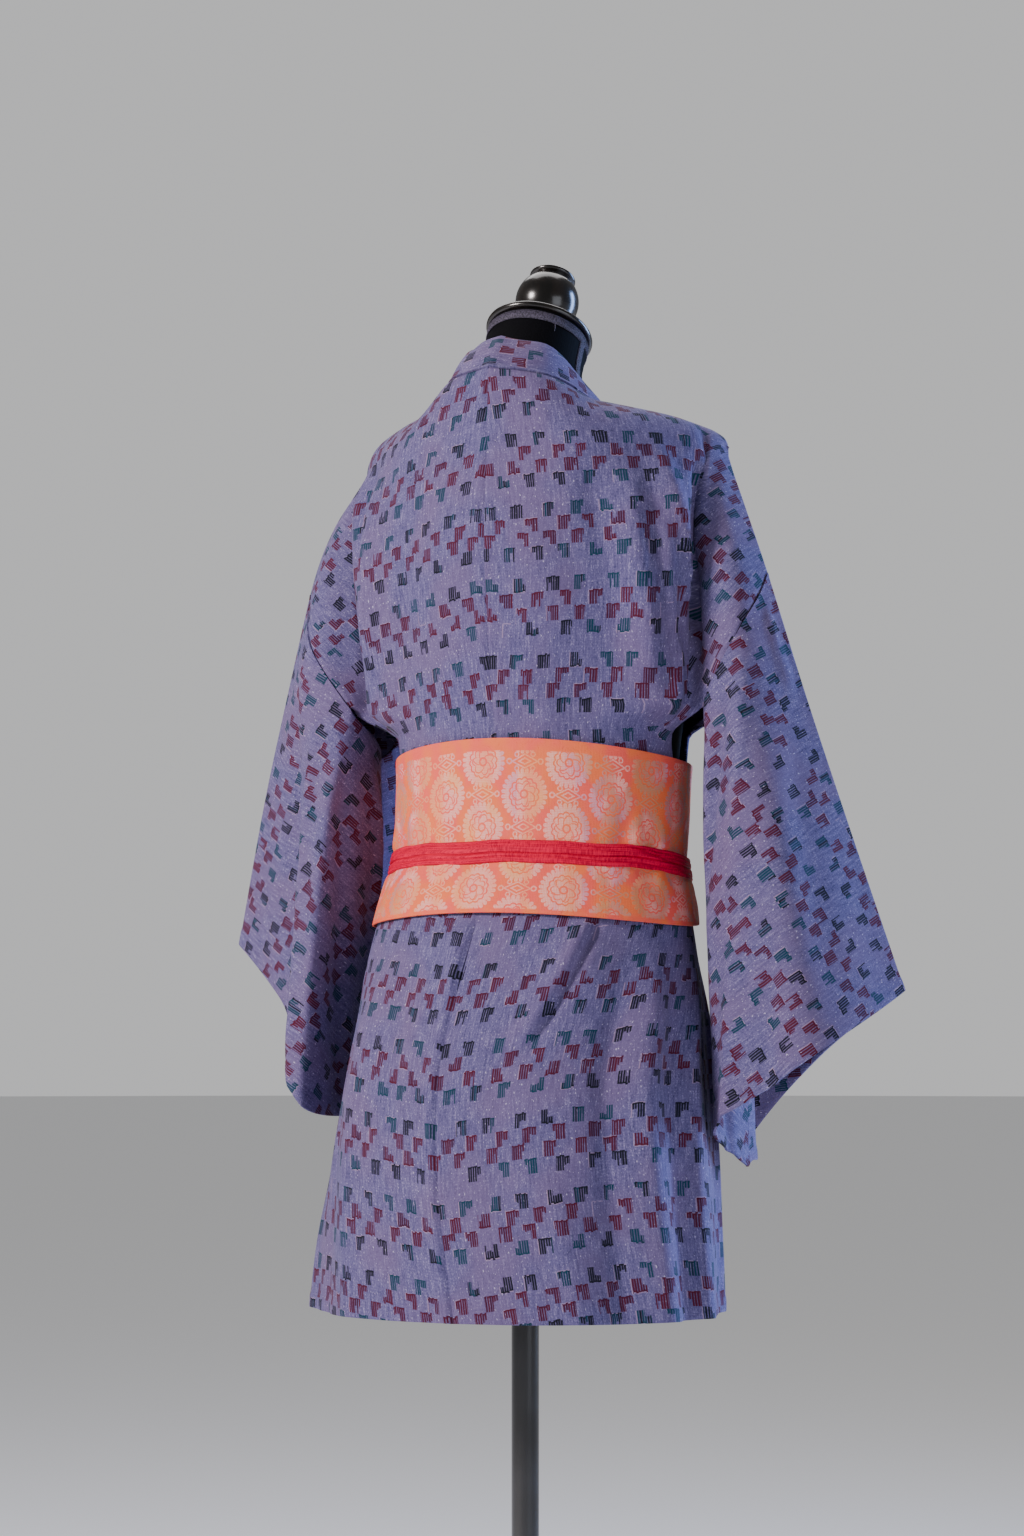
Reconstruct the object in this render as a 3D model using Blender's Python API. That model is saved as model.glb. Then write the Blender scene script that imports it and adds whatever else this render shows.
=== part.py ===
"""A haori jacket belted on a limbless dress form.

Every piece of cloth is a thin wall on a form worked out from its own cut: the body rests on the
form's shoulders and waist, the sleeves hang as folded bags from their armhole seams, and the fronts
cross left over right under the obi. Metres, +Z up. The origin is on the floor under the pole.
The wearer faces -Y, so the wearer's right is -X.
"""
from collections import namedtuple
from math import asin, cos, pi, radians, sin

import bmesh
import bpy
from mathutils import Matrix, Vector

# ---------------------------------------------------------------- driving dimensions
CLOTH = 0.0015              # wall of one layer of the jacket
BAND_CLOTH = 0.0024         # wall of the folded collar
SEAM_GAP = 0.0003           # between two pieces that are sewn together
HEM_Z = 0.573               # the jacket's hem above the floor
SLIT_Z = 1.000              # lower end of the slit under the arm
WAIST_Z = 1.092             # where the slit goes under the obi
UNDERARM_Z = 1.120          # lower end of the armhole seam
ARM_TOP_Z = 1.236           # upper end of the armhole seam, on the sleeve's outer fold
SHOULDER_Z = 1.345          # last level section, just under the shoulder ridge
CUFF_Z = 0.860              # outer corner of the cuff
LEFT_CUFF_LIFT = 0.045      # the left cuff hangs this much higher
SLEEVE_DROP = 0.38          # from outer fold to bottom seam, along the warp
ARMHOLE = 0.19              # sewn length of the armhole on each layer
SLEEVE_SAG = 0.034          # how much lower a loose layer of a sleeve hangs at the cuff
SLEEVE_WALL_GAP = 0.0010    # along the armhole seam, where two walls meet on a curve
COLLAR_WALL_GAP = 0.0010    # along the neck seam, where the collar stands up from the body
COLLAR_WIDTH = 0.047
FRONT_LAP = 0.0055          # the left front's stand-off over the right front
OBI_CLOTH = 0.0030
OBI_STANDOFF = 0.0042       # from the middle of the jacket's wall to the middle of the obi's
OBI_LAP = radians(38)       # how far the obi's outer end laps over its start
OBI_BOTTOM_Z = 0.930
TIE_HEIGHT = 0.021
TIE_THICKNESS = 0.0038
TIE_GAP = 0.0020            # between the tie and the flats of the obi
POLE_RADIUS = 0.0125
NECK_TILT = radians(28)     # forward lean of the neck and its cap
NECK_RADIUS = 0.0465
NECK_TOP = Vector((0.0, -0.030, 1.462))
FORM_BOTTOM_Z = 0.800
FORM_INSET = 0.0065         # from the middle of the jacket's wall to the form's skin
BASE_RADIUS = 0.180
RIGHT = -1
LEFT = 1

# ---------------------------------------------------------------- tables of sections
# The jacket round the torso: half width at the widest point, and y of back, widest point and front
Ring = namedtuple("Ring", "z half_width back_y side_y front_y")
TORSO = (
    Ring(0.573, 0.183, 0.168, 0.018, -0.132),
    Ring(0.660, 0.178, 0.159, 0.012, -0.135),
    Ring(0.760, 0.170, 0.143, 0.003, -0.137),
    Ring(0.850, 0.160, 0.122, -0.010, -0.142),
    Ring(0.930, 0.146, 0.096, -0.021, -0.140),
    Ring(0.980, 0.133, 0.073, -0.030, -0.136),
    Ring(1.080, 0.136, 0.067, -0.040, -0.149),
    Ring(1.150, 0.147, 0.077, -0.038, -0.157),
    Ring(1.240, 0.157, 0.089, -0.034, -0.160),
    Ring(1.300, 0.161, 0.088, -0.034, -0.148),
    Ring(1.345, 0.164, 0.083, -0.036, -0.122),
)

# The form above the jacket's last level section, up to the foot of its neck
FORM_TOP = (
    Ring(1.358, 0.138, 0.072, -0.034, -0.100),
    Ring(1.371, 0.098, 0.060, -0.026, -0.080),
    Ring(1.383, 0.069, 0.053, -0.014, -0.064),
    Ring(1.397, 0.054, 0.048, -0.004, -0.054),
)

# Where the shoulder piece stands away from the torso: the edge of the blade, the valley beside it,
# the ridge where the loose cloth starts, its bulge and the outer fold. Distances out from the
# centre plane, and y.
Flap = namedtuple("Flap", "z blade_out blade_y valley_out valley_y ridge_out ridge_y "
                          "bulge_out bulge_y fold_out fold_y")
BACK_FLAP = (
    Flap(1.120, 0.148, 0.022, 0.157, -0.006, 0.176, -0.004, 0.219, 0.008, 0.256, -0.046),
    Flap(1.236, 0.158, 0.032, 0.163, -0.012, 0.177, -0.002, 0.204, -0.002, 0.222, -0.036),
    Flap(1.300, 0.161, 0.018, 0.165, -0.014, 0.173, -0.010, 0.188, -0.016, 0.198, -0.040),
    Flap(1.345, 0.160, -0.004, 0.167, -0.022, 0.172, -0.024, 0.177, -0.034, 0.180, -0.046),
)
FRONT_FLAP = (
    Flap(1.120, 0.144, -0.100, 0.155, -0.074, 0.169, -0.090, 0.211, -0.098, 0.256, -0.046),
    Flap(1.236, 0.156, -0.102, 0.163, -0.074, 0.175, -0.084, 0.202, -0.078, 0.222, -0.036),
    Flap(1.300, 0.160, -0.092, 0.165, -0.070, 0.173, -0.074, 0.188, -0.062, 0.198, -0.040),
    Flap(1.345, 0.161, -0.076, 0.167, -0.066, 0.172, -0.064, 0.177, -0.056, 0.180, -0.046),
)

# How much farther out the left shoulder's outer fold falls
Spread = namedtuple("Spread", "z out")
LEFT_SPREAD = (
    Spread(0.860, 0.000),
    Spread(1.060, 0.012),
    Spread(1.236, 0.017),
    Spread(1.300, 0.016),
    Spread(1.345, 0.002),
)

# A hanging sleeve in level cuts: outer fold, bulge, ridge beside the torso, inner side, bottom seam
Bag = namedtuple("Bag", "z fold_out fold_y bulge_out bulge_y ridge_out ridge_y "
                        "inner_out inner_y seam_out seam_y")
RIGHT_SLEEVE_BACK = (
    Bag(0.700, 0.384, -0.096, 0.306, 0.034, 0.197, 0.018, 0.190, -0.036, 0.189, -0.070),
    Bag(0.860, 0.336, -0.076, 0.277, 0.028, 0.186, 0.008, 0.181, -0.040, 0.187, -0.070),
    Bag(1.000, 0.293, -0.058, 0.247, 0.022, 0.178, 0.002, 0.173, -0.038, 0.180, -0.064),
    Bag(1.120, 0.256, -0.046, 0.219, 0.008, 0.176, -0.004, 0.172, -0.030, 0.177, -0.052),
    Bag(1.236, 0.222, -0.036, 0.204, -0.002, 0.177, -0.002, 0.174, -0.020, 0.178, -0.040),
)
LEFT_SLEEVE_BACK = (
    Bag(0.700, 0.384, -0.096, 0.262, -0.020, 0.208, 0.050, 0.192, -0.020, 0.189, -0.070),
    Bag(0.860, 0.336, -0.076, 0.246, -0.022, 0.198, 0.044, 0.180, -0.026, 0.187, -0.070),
    Bag(1.000, 0.293, -0.058, 0.232, -0.016, 0.188, 0.034, 0.166, -0.028, 0.180, -0.064),
    Bag(1.120, 0.256, -0.046, 0.219, 0.004, 0.178, 0.006, 0.168, -0.030, 0.177, -0.052),
    Bag(1.236, 0.222, -0.036, 0.204, -0.002, 0.177, -0.002, 0.173, -0.020, 0.178, -0.040),
)
SLEEVE_FRONT = (
    Bag(0.700, 0.384, -0.096, 0.236, -0.148, 0.166, -0.132, 0.184, -0.104, 0.189, -0.070),
    Bag(0.860, 0.336, -0.076, 0.220, -0.144, 0.160, -0.128, 0.178, -0.100, 0.187, -0.070),
    Bag(1.000, 0.293, -0.058, 0.216, -0.126, 0.162, -0.116, 0.172, -0.092, 0.180, -0.064),
    Bag(1.120, 0.256, -0.046, 0.211, -0.098, 0.169, -0.090, 0.170, -0.074, 0.177, -0.052),
    Bag(1.236, 0.222, -0.036, 0.202, -0.078, 0.175, -0.084, 0.173, -0.060, 0.178, -0.040),
)

# How far a sleeve's rows sink as they run in from the outer fold
Sink = namedtuple("Sink", "along down")
SLEEVE_SINK = (
    Sink(0.00, 0.000),
    Sink(0.10, 0.056),
    Sink(0.19, 0.112),
    Sink(0.28, 0.142),
    Sink(0.38, 0.158),
)

# How far past the centre plane each front's edge lies, own side positive
Reach = namedtuple("Reach", "z out")
FRONT_EDGE = (
    Reach(0.573, -0.040),
    Reach(0.760, -0.052),
    Reach(0.930, -0.064),
    Reach(1.080, -0.050),
    Reach(1.180, -0.022),
    Reach(1.260, 0.001),
    Reach(1.345, 0.022),
)

# The back seam's wander toward the wearer's left, in degrees round the torso
Wander = namedtuple("Wander", "z degrees")
BACK_SEAM = (
    Wander(0.573, -2.5),
    Wander(0.700, 5.0),
    Wander(0.785, 7.5),
    Wander(0.860, 4.5),
    Wander(0.930, 1.0),
    Wander(1.000, 0.0),
)

# The neck seam and the collar's free edge, from the nape (0) past the neck's side (1) to the front (2)
Neck = namedtuple("Neck", "at seam_out seam_y seam_z edge_out edge_y edge_z")
NECKLINE = (
    Neck(0.0, 0.000, 0.079, 1.419, 0.000, 0.052, 1.451),
    Neck(0.5, 0.047, 0.059, 1.411, 0.039, 0.038, 1.442),
    Neck(1.0, 0.068, 0.004, 1.395, 0.0555, -0.008, 1.414),
    Neck(1.5, 0.071, -0.062, 1.376, 0.047, -0.074, 1.384),
    Neck(2.0, 0.069, -0.114, 1.345, 0.022, -0.1215, 1.345),
)
NECK_SHARE = 0.28           # share of the body's section that ends on the neck seam
VALLEY_SHARE = 0.54         # share of the section from its seam to the valley
RIDGE_SHARE = 0.68          # and to the ridge beyond it

# The shoulder ridge from the neck seam out to the top of the outer fold
Ridge = namedtuple("Ridge", "at out y z")
SHOULDER_RIDGE = (
    Ridge(0.28, 0.068, 0.004, 1.395),
    Ridge(0.42, 0.122, -0.020, 1.382),
    Ridge(0.54, 0.156, -0.036, 1.372),
    Ridge(0.68, 0.168, -0.042, 1.367),
    Ridge(0.84, 0.176, -0.046, 1.361),
    Ridge(1.00, 0.1815, -0.047, 1.352),
)

# The skirt's main folds: where each starts and ends, in height and in degrees from the back's
# centre toward its own side, its half width in degrees and its height off the skirt
Fold = namedtuple("Fold", "side top_z bottom_z top_angle bottom_angle spread height")
SKIRT_FOLDS = (
    Fold(RIGHT, 0.935, 0.750, 45, 12, 6, 0.0050),
    Fold(RIGHT, 0.900, 0.560, 62, 68, 7, 0.0040),
    Fold(RIGHT, 0.820, 0.560, 84, 92, 7, 0.0055),
    Fold(RIGHT, 0.920, 0.560, 128, 122, 8, 0.0050),
    Fold(LEFT, 0.925, 0.560, 38, 30, 7, 0.0040),
    Fold(LEFT, 0.860, 0.560, 74, 80, 8, 0.0055),
    Fold(LEFT, 0.930, 0.600, 108, 118, 7, 0.0045),
    Fold(LEFT, 0.900, 0.560, 146, 140, 7, 0.0040),
)

Knot = namedtuple("Knot", "at out y")


# ---------------------------------------------------------------- curves
def slope(rows, k, column):
    """Slope of one column at row k, from the rows on either side."""
    below = rows[max(k - 1, 0)]
    above = rows[min(k + 1, len(rows) - 1)]
    return (above[column] - below[column]) / (above[0] - below[0])


def row_at(table, key):
    """The row of a table at a key between its rows, each column a smooth curve, held at the ends."""
    if key <= table[0][0]:
        return table[0]
    if key >= table[-1][0]:
        return table[-1]
    k = max(i for i, row in enumerate(table) if row[0] <= key)
    low, high = table[k], table[k + 1]
    span = high[0] - low[0]
    s = (key - low[0]) / span
    values = []
    for column in range(len(low)):
        start = slope(table, k, column) * span
        end = slope(table, k + 1, column) * span
        a, b = low[column], high[column]
        values.append(a + s * (start + s * (3 * (b - a) - 2 * start - end + s * (2 * (a - b) + start + end))))
    return type(low)(*values)


def ease(x):
    """0 to 1, level at both ends."""
    x = min(max(x, 0.0), 1.0)
    return x * x * (3 - 2 * x)


def lerp(a, b, s):
    return a + (b - a) * s


def levels(stops):
    """Heights that pass through each stop: (height, number of steps up to the next stop)."""
    heights = []
    for (low, steps), (high, _) in zip(stops, stops[1:]):
        heights += [lerp(low, high, k / steps) for k in range(steps)]
    return heights + [stops[-1][0]]


# ---------------------------------------------------------------- the torso's sections
def back_shift(side, z):
    """Angle from the centre plane to the back seam, toward this side."""
    return side * radians(row_at(BACK_SEAM, z).degrees)


def fold_height(side, z, angle):
    """How far the skirt's folds lift the cloth at this place; a fold may cross the back seam."""
    lift = 0.0
    for fold in SKIRT_FOLDS:
        if fold.side != side or not fold.bottom_z < z < fold.top_z:
            continue
        s = (fold.top_z - z) / (fold.top_z - fold.bottom_z)
        off = (angle - radians(lerp(fold.top_angle, fold.bottom_angle, s))) / radians(fold.spread)
        at_hem = fold.bottom_z < HEM_Z
        fade = ease(s / 0.25) * (1.0 if at_hem else ease((1 - s) / 0.35))
        lift += fold.height * fade / (1 + off * off) ** 2
    return lift


def on_torso(side, z, angle, proud=0.0):
    """(out, y) on the jacket's ring. The angle runs from the back (0) past the side to the front (pi)."""
    ring = row_at(TORSO, z)
    depth = ring.back_y - ring.side_y if cos(angle) > 0 else ring.side_y - ring.front_y
    off = proud + fold_height(side, z, angle)
    return Vector(((ring.half_width + off) * sin(angle), ring.side_y + (depth + off) * cos(angle)))


def front_angle(z, out):
    """Angle on the ring of a point of the front that lies this far out from the centre plane."""
    return pi - asin(out / row_at(TORSO, z).half_width)


def lap(side, angle):
    """Stand-off of the left front where it lies over the right one."""
    return FRONT_LAP * ease((angle - radians(122)) / radians(24)) if side == LEFT else 0.0


def along_at(down):
    """How far in along the sleeve's row the cloth has sunk by this much."""
    low, high = 0.0, SLEEVE_DROP
    for _ in range(30):
        middle = (low + high) / 2
        if row_at(SLEEVE_SINK, middle).down < down:
            low = middle
        else:
            high = middle
    return low


def section_end(z):
    """Share of the section that the body keeps at this height, on back and on front."""
    if z >= ARM_TOP_Z:
        return 1.0
    if z >= UNDERARM_Z:
        return lerp(1.0, RIDGE_SHARE, min(along_at(ARM_TOP_Z - z) / ARMHOLE, 1.0))
    if z >= WAIST_Z:
        return RIDGE_SHARE
    return lerp(1.0, RIDGE_SHARE, ease((z - SLIT_Z) / (WAIST_Z - SLIT_Z)))


def spread(side, z):
    return row_at(LEFT_SPREAD, z).out if side == LEFT else 0.0


def flap_knots(side, z, flap, angles):
    """Knots from the blade's edge to the outer fold; under the arm they settle onto the torso."""
    free = ease((z - WAIST_Z) / (UNDERARM_Z - WAIST_Z))
    wide = spread(side, z)
    places = ((flap.blade_out, flap.blade_y), (flap.valley_out, flap.valley_y), (flap.ridge_out, flap.ridge_y),
              (flap.bulge_out + wide / 2, flap.bulge_y), (flap.fold_out + wide, flap.fold_y))
    knots = []
    for at, angle, place in zip((0.42, VALLEY_SHARE, RIDGE_SHARE, 0.84, 1.0), angles, places):
        turn = radians(angle)
        point = on_torso(side, z, turn, lap(side, turn)).lerp(Vector(place), free)
        knots.append(Knot(at, point.x, point.y))
    return knots


def back_knots(side, z):
    start = back_shift(side, z)
    knots = []
    for at, angle in ((0.0, 0), (0.14, 19), (0.28, 37)):
        point = on_torso(side, z, radians(angle) + start * (1 - at / 0.42))
        knots.append(Knot(at, point.x, point.y))
    return knots + flap_knots(side, z, row_at(BACK_FLAP, z), (54, 68, 80, 89, 97))


def front_knots(side, z):
    start = front_angle(z, row_at(FRONT_EDGE, z).out + COLLAR_WIDTH)
    knots = []
    for at in (0.0, 0.14, 0.28):
        angle = lerp(start, radians(133), at / 0.42)
        point = on_torso(side, z, angle, lap(side, angle))
        knots.append(Knot(at, point.x, point.y))
    return knots + flap_knots(side, z, row_at(FRONT_FLAP, z), (133, 122, 113, 105, 97))


def neck_at(side, at):
    """Row of the neckline; toward the front the left side lies over the right one."""
    neck = row_at(NECKLINE, at)
    over = FRONT_LAP * ease((at - 1.2) / 0.8) if side == LEFT else 0.0
    return neck._replace(seam_y=neck.seam_y - over, edge_y=neck.edge_y - over)


def shoulder_top(side, share, front):
    """Top of a column: on the neck seam, or past it on the shoulder ridge."""
    if share < NECK_SHARE:
        neck = neck_at(side, 2.0 - share / NECK_SHARE if front else share / NECK_SHARE)
        return Vector((side * max(neck.seam_out, SEAM_GAP), neck.seam_y, neck.seam_z))
    ridge = row_at(SHOULDER_RIDGE, share)
    return Vector((side * ridge.out, ridge.y, ridge.z))


def body_point(side, z, fraction, knots):
    knot = row_at(knots, fraction)
    return Vector((side * knot.out, knot.y, z))


# ---------------------------------------------------------------- meshes
def new_object(name, mesh, material):
    thing = bpy.data.objects.new(name, mesh)
    bpy.context.collection.objects.link(thing)
    mesh.materials.append(material)
    return thing


def from_bmesh(name, shape, material, smooth=True):
    bmesh.ops.recalc_face_normals(shape, faces=shape.faces)
    mesh = bpy.data.meshes.new(name)
    shape.to_mesh(mesh)
    shape.free()
    if smooth:
        mesh.shade_smooth()
        mesh.set_sharp_from_angle(angle=radians(40))
    return new_object(name, mesh, material)


def add_grid(shape, rows):
    """Faces between neighbouring rows of points."""
    corners = [[shape.verts.new(point) for point in row] for row in rows]
    for near, far in zip(corners, corners[1:]):
        for k in range(len(near) - 1):
            shape.faces.new((near[k], near[k + 1], far[k + 1], far[k]))


def cloth(name, grids, material, thickness):
    """A wall of even thickness on one or more grids that share their edges."""
    shape = bmesh.new()
    for rows in grids:
        add_grid(shape, rows)
    bmesh.ops.remove_doubles(shape, verts=shape.verts, dist=SEAM_GAP / 3)
    thing = from_bmesh(name, shape, material)
    wall = thing.modifiers.new("Wall", "SOLIDIFY")
    wall.thickness = thickness
    wall.offset = 0.0
    return thing


def turned(name, profile, material, place=Matrix(), sides=28):
    """A solid turned about Z from (radius, height) points, bottom to top, then placed."""
    shape = bmesh.new()
    rings = []
    for radius, height in profile:
        turn = [2 * pi * k / sides for k in range(sides)]
        rings.append([shape.verts.new((radius * cos(a), radius * sin(a), height)) for a in turn])
    for low, high in zip(rings, rings[1:]):
        for k in range(sides):
            shape.faces.new((low[k], low[(k + 1) % sides], high[(k + 1) % sides], high[k]))
    shape.faces.new(rings[0])
    shape.faces.new(rings[-1])
    bmesh.ops.transform(shape, matrix=place, verts=shape.verts)
    return from_bmesh(name, shape, material)


def material(name, colour, roughness, sheen=0.0):
    surface = bpy.data.materials.new(name)
    surface.use_nodes = True
    shader = surface.node_tree.nodes["Principled BSDF"]
    shader.inputs["Base Color"].default_value = (*colour, 1.0)
    shader.inputs["Roughness"].default_value = roughness
    shader.inputs["Sheen Weight"].default_value = sheen
    return surface


# ---------------------------------------------------------------- the jacket
SLEEVE_ROWS = 8
SLEEVE_COLUMNS = 12
ARMHOLE_COLUMNS = 6
ARMHOLE_LEVELS = [ARM_TOP_Z - row_at(SLEEVE_SINK, ARMHOLE * k / ARMHOLE_COLUMNS).down
                  for k in range(ARMHOLE_COLUMNS, 0, -1)]
BODY_LEVELS = (levels(((HEM_Z, 5), (0.930, 2), (SLIT_Z, 3), (WAIST_Z, 1)))
               + ARMHOLE_LEVELS + levels(((ARM_TOP_Z, 3), (SHOULDER_Z, 1))))
SHOULDER_ROWS = 3
BODY_COLUMNS = 14
VALLEY_COLUMN = 8


def column_share(k, end):
    """Share of the section at column k: the columns past the valley follow the section's end."""
    if k <= VALLEY_COLUMN:
        return VALLEY_SHARE * k / VALLEY_COLUMN
    return lerp(VALLEY_SHARE, end, (k - VALLEY_COLUMN) / (BODY_COLUMNS - VALLEY_COLUMN))


def drawn_in(edge, inner, gap):
    """A point of a wall's edge, drawn back toward the cloth by the gap that a seam keeps."""
    return edge + (inner - edge).normalized() * gap


def drawn_row(edge, inner, gap):
    """A whole edge drawn back into its cloth, square to the edge itself."""
    row = [drawn_in(edge[0], inner[0], gap)]
    for before, point, after, cloth_side in zip(edge, edge[1:], edge[2:], inner[1:]):
        along = (after - before).normalized()
        back = cloth_side - point
        row.append(point + (back - along * back.dot(along)).normalized() * gap)
    return row + [drawn_in(edge[-1], inner[-1], gap)]


def body_side(side, front):
    """Rows of the back or the front, from hem to shoulder ridge, each from its seam outward."""
    make_knots = front_knots if front else back_knots
    rows = []
    for z in BODY_LEVELS:
        knots = make_knots(side, z)
        end = section_end(z)
        rows.append([body_point(side, z, column_share(k, end), knots) for k in range(BODY_COLUMNS + 1)])
    for row in rows:
        row[0] = drawn_in(row[0], row[1], SEAM_GAP)
    for k in range(1, ARMHOLE_COLUMNS + 1):
        row = rows[BODY_LEVELS.index(ARMHOLE_LEVELS[-k])]
        row[-1] = drawn_in(sleeve_point(side, 0.0, ARMHOLE * k / ARMHOLE_COLUMNS, front), row[-2], SEAM_GAP)
    last = rows[-1]
    for step in range(1, SHOULDER_ROWS + 1):
        turn = 0.5 * pi * step / SHOULDER_ROWS
        row = []
        for k, start in enumerate(last):
            top = start if front and k == 0 else shoulder_top(side, column_share(k, 1.0), front)
            row.append(Vector((lerp(start.x, top.x, 1 - cos(turn)), lerp(start.y, top.y, 1 - cos(turn)),
                               lerp(start.z, top.z, sin(turn)))))
        rows.append(row)
    for k in range(1 if front else 0, BODY_COLUMNS + 1):
        if column_share(k, 1.0) < NECK_SHARE:
            rows[-1][k] = drawn_in(rows[-1][k], rows[-2][k], COLLAR_WALL_GAP)
    return rows


def make_body(name, side, surface):
    """One length of cloth: back and front, joined over the shoulder and at the side under the slit."""
    return cloth(name, (body_side(side, front=False), body_side(side, front=True)), surface, CLOTH)


def sleeve_point(side, down, along, front):
    """Point of a sleeve: how far down the outer fold (0 to 1) and how far in along the row."""
    sink = row_at(SLEEVE_SINK, along).down
    share = along / SLEEVE_DROP
    if front or side == LEFT:
        sink += SLEEVE_SAG * down * sin(pi * share) ** 2
    level = ARM_TOP_Z - down * (ARM_TOP_Z - CUFF_Z) - sink
    back = RIGHT_SLEEVE_BACK if side == RIGHT else LEFT_SLEEVE_BACK
    bag = row_at(SLEEVE_FRONT if front else back, level)
    wide = spread(side, level)
    knots = (Knot(0.0, bag.fold_out + wide, bag.fold_y), Knot(0.25, bag.bulge_out + wide / 2, bag.bulge_y),
             Knot(0.5, bag.ridge_out, bag.ridge_y), Knot(0.72, bag.inner_out, bag.inner_y),
             Knot(1.0, bag.seam_out, bag.seam_y))
    knot = row_at(knots, share)
    lift = LEFT_CUFF_LIFT * down if side == LEFT else 0.0
    return Vector((side * knot.out, knot.y, level + lift))


def make_sleeve(name, side, surface):
    """A folded length: open at the cuff, and at the inner side under the armhole seam."""
    layers = []
    for front in (False, True):
        rows = [[sleeve_point(side, r / SLEEVE_ROWS, SLEEVE_DROP * c / SLEEVE_COLUMNS, front)
                 for c in range(SLEEVE_COLUMNS + 1)] for r in range(SLEEVE_ROWS + 1)]
        rows[0] = drawn_row(rows[0], rows[1], SLEEVE_WALL_GAP)
        layers.append(rows)
    return cloth(name, layers, surface, CLOTH)


def collar_row(side, z):
    """Across the collar on the front, from the seam to the free edge."""
    reach = row_at(FRONT_EDGE, z).out
    row = []
    for k in range(3):
        angle = front_angle(z, reach + COLLAR_WIDTH * (1 - k / 2))
        point = on_torso(side, z, angle, lap(side, angle))
        row.append(Vector((side * point.x, point.y, z)))
    return row


def neck_row(side, at):
    """Across the collar round the neck, from the seam to the free edge."""
    neck = neck_at(side, at)
    seam = Vector((side * neck.seam_out, neck.seam_y, neck.seam_z))
    edge = Vector((side * neck.edge_out, neck.edge_y, neck.edge_z))
    return [seam, seam.lerp(edge, 0.5), edge]


def make_collar(surface):
    """One long band, from the right hem round the neck to the left hem."""
    neck_steps = 8
    climb = [collar_row(RIGHT, z) for z in BODY_LEVELS]
    right = [neck_row(RIGHT, 2.0 * k / neck_steps) for k in range(neck_steps - 1, 0, -1)]
    left = [neck_row(LEFT, 2.0 * k / neck_steps) for k in range(neck_steps)]
    descent = [collar_row(LEFT, z) for z in reversed(BODY_LEVELS)]
    rows = climb + right + left + descent
    for row in rows:
        gap = SEAM_GAP if row[0].z < SHOULDER_Z else COLLAR_WALL_GAP
        row[0] = drawn_in(row[0], row[1], gap)
    return cloth("collar", (rows,), surface, BAND_CLOTH)


# ---------------------------------------------------------------- obi and waist tie
def waist_point(angle, z, standoff):
    """Point round the waist; the angle runs on from the back past the wearer's right."""
    turn = angle % (2 * pi)
    side, own = (RIGHT, turn) if turn <= pi else (LEFT, 2 * pi - turn)
    over = FRONT_LAP * ease((own - radians(104)) / radians(24))
    point = on_torso(side, z, own, standoff + over)
    return Vector((side * point.x, point.y, z))


def obi_top_z(angle):
    return 1.078 + 0.008 * cos(angle)


def make_obi(surface):
    """A stiff band wound once and lapped over its own start at the front."""
    steps, rises = 44, 3
    start = pi - OBI_LAP / 2
    sweep = 2 * pi + OBI_LAP
    rows = []
    for rise in range(rises + 1):
        row = []
        for k in range(steps + 1):
            angle = start + sweep * k / steps
            z = lerp(OBI_BOTTOM_Z, obi_top_z(angle), rise / rises)
            spiral = (OBI_CLOTH + 0.0012) * ease((angle - start - sweep + OBI_LAP * 1.6) / (OBI_LAP * 0.6))
            row.append(waist_point(angle, z, OBI_STANDOFF + spiral))
        rows.append(row)
    return cloth("obi", (rows,), surface, OBI_CLOTH)


def tie_z(angle):
    return 0.974 + 0.010 * cos(angle)


def tie_standoff(angle):
    """The tie lies on the obi, over its lap as well."""
    lapped = ease(1 - (abs(angle - pi) - OBI_LAP * 0.6) / (OBI_LAP * 0.8))
    return OBI_STANDOFF + OBI_CLOTH / 2 + TIE_THICKNESS / 2 + TIE_GAP + (OBI_CLOTH + 0.0012) * lapped


def make_tie(surface):
    """A flat band pleated along its length, closed round the waist."""
    steps = 44
    profile = ((-0.5, -0.4), (-0.5, 0.2), (-0.3, 0.5), (-0.1, 0.3), (0.1, 0.5), (0.28, 0.3), (0.5, 0.35),
               (0.5, -0.4))
    shape = bmesh.new()
    rings = []
    for k in range(steps):
        angle = 2 * pi * k / steps
        ring = []
        for up, off in profile:
            z = tie_z(angle) + up * TIE_HEIGHT
            ring.append(shape.verts.new(waist_point(angle, z, tie_standoff(angle) + off * TIE_THICKNESS)))
        rings.append(ring)
    count = len(profile)
    for k in range(steps):
        near, far = rings[k], rings[(k + 1) % steps]
        for c in range(count):
            shape.faces.new((near[c], near[(c + 1) % count], far[(c + 1) % count], far[c]))
    return from_bmesh("waist_tie", shape, surface)


def rounded_block(name, size, place, surface, bevel):
    shape = bmesh.new()
    bmesh.ops.create_cube(shape, size=1.0)
    bmesh.ops.scale(shape, vec=size, verts=shape.verts)
    bmesh.ops.bevel(shape, geom=shape.edges, offset=bevel, segments=3, affect="EDGES", profile=0.5)
    bmesh.ops.transform(shape, matrix=place, verts=shape.verts)
    return from_bmesh(name, shape, surface)


KNOT_SINK = 0.0009          # the knot's rounded back lies this far into the curve of the band


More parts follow.
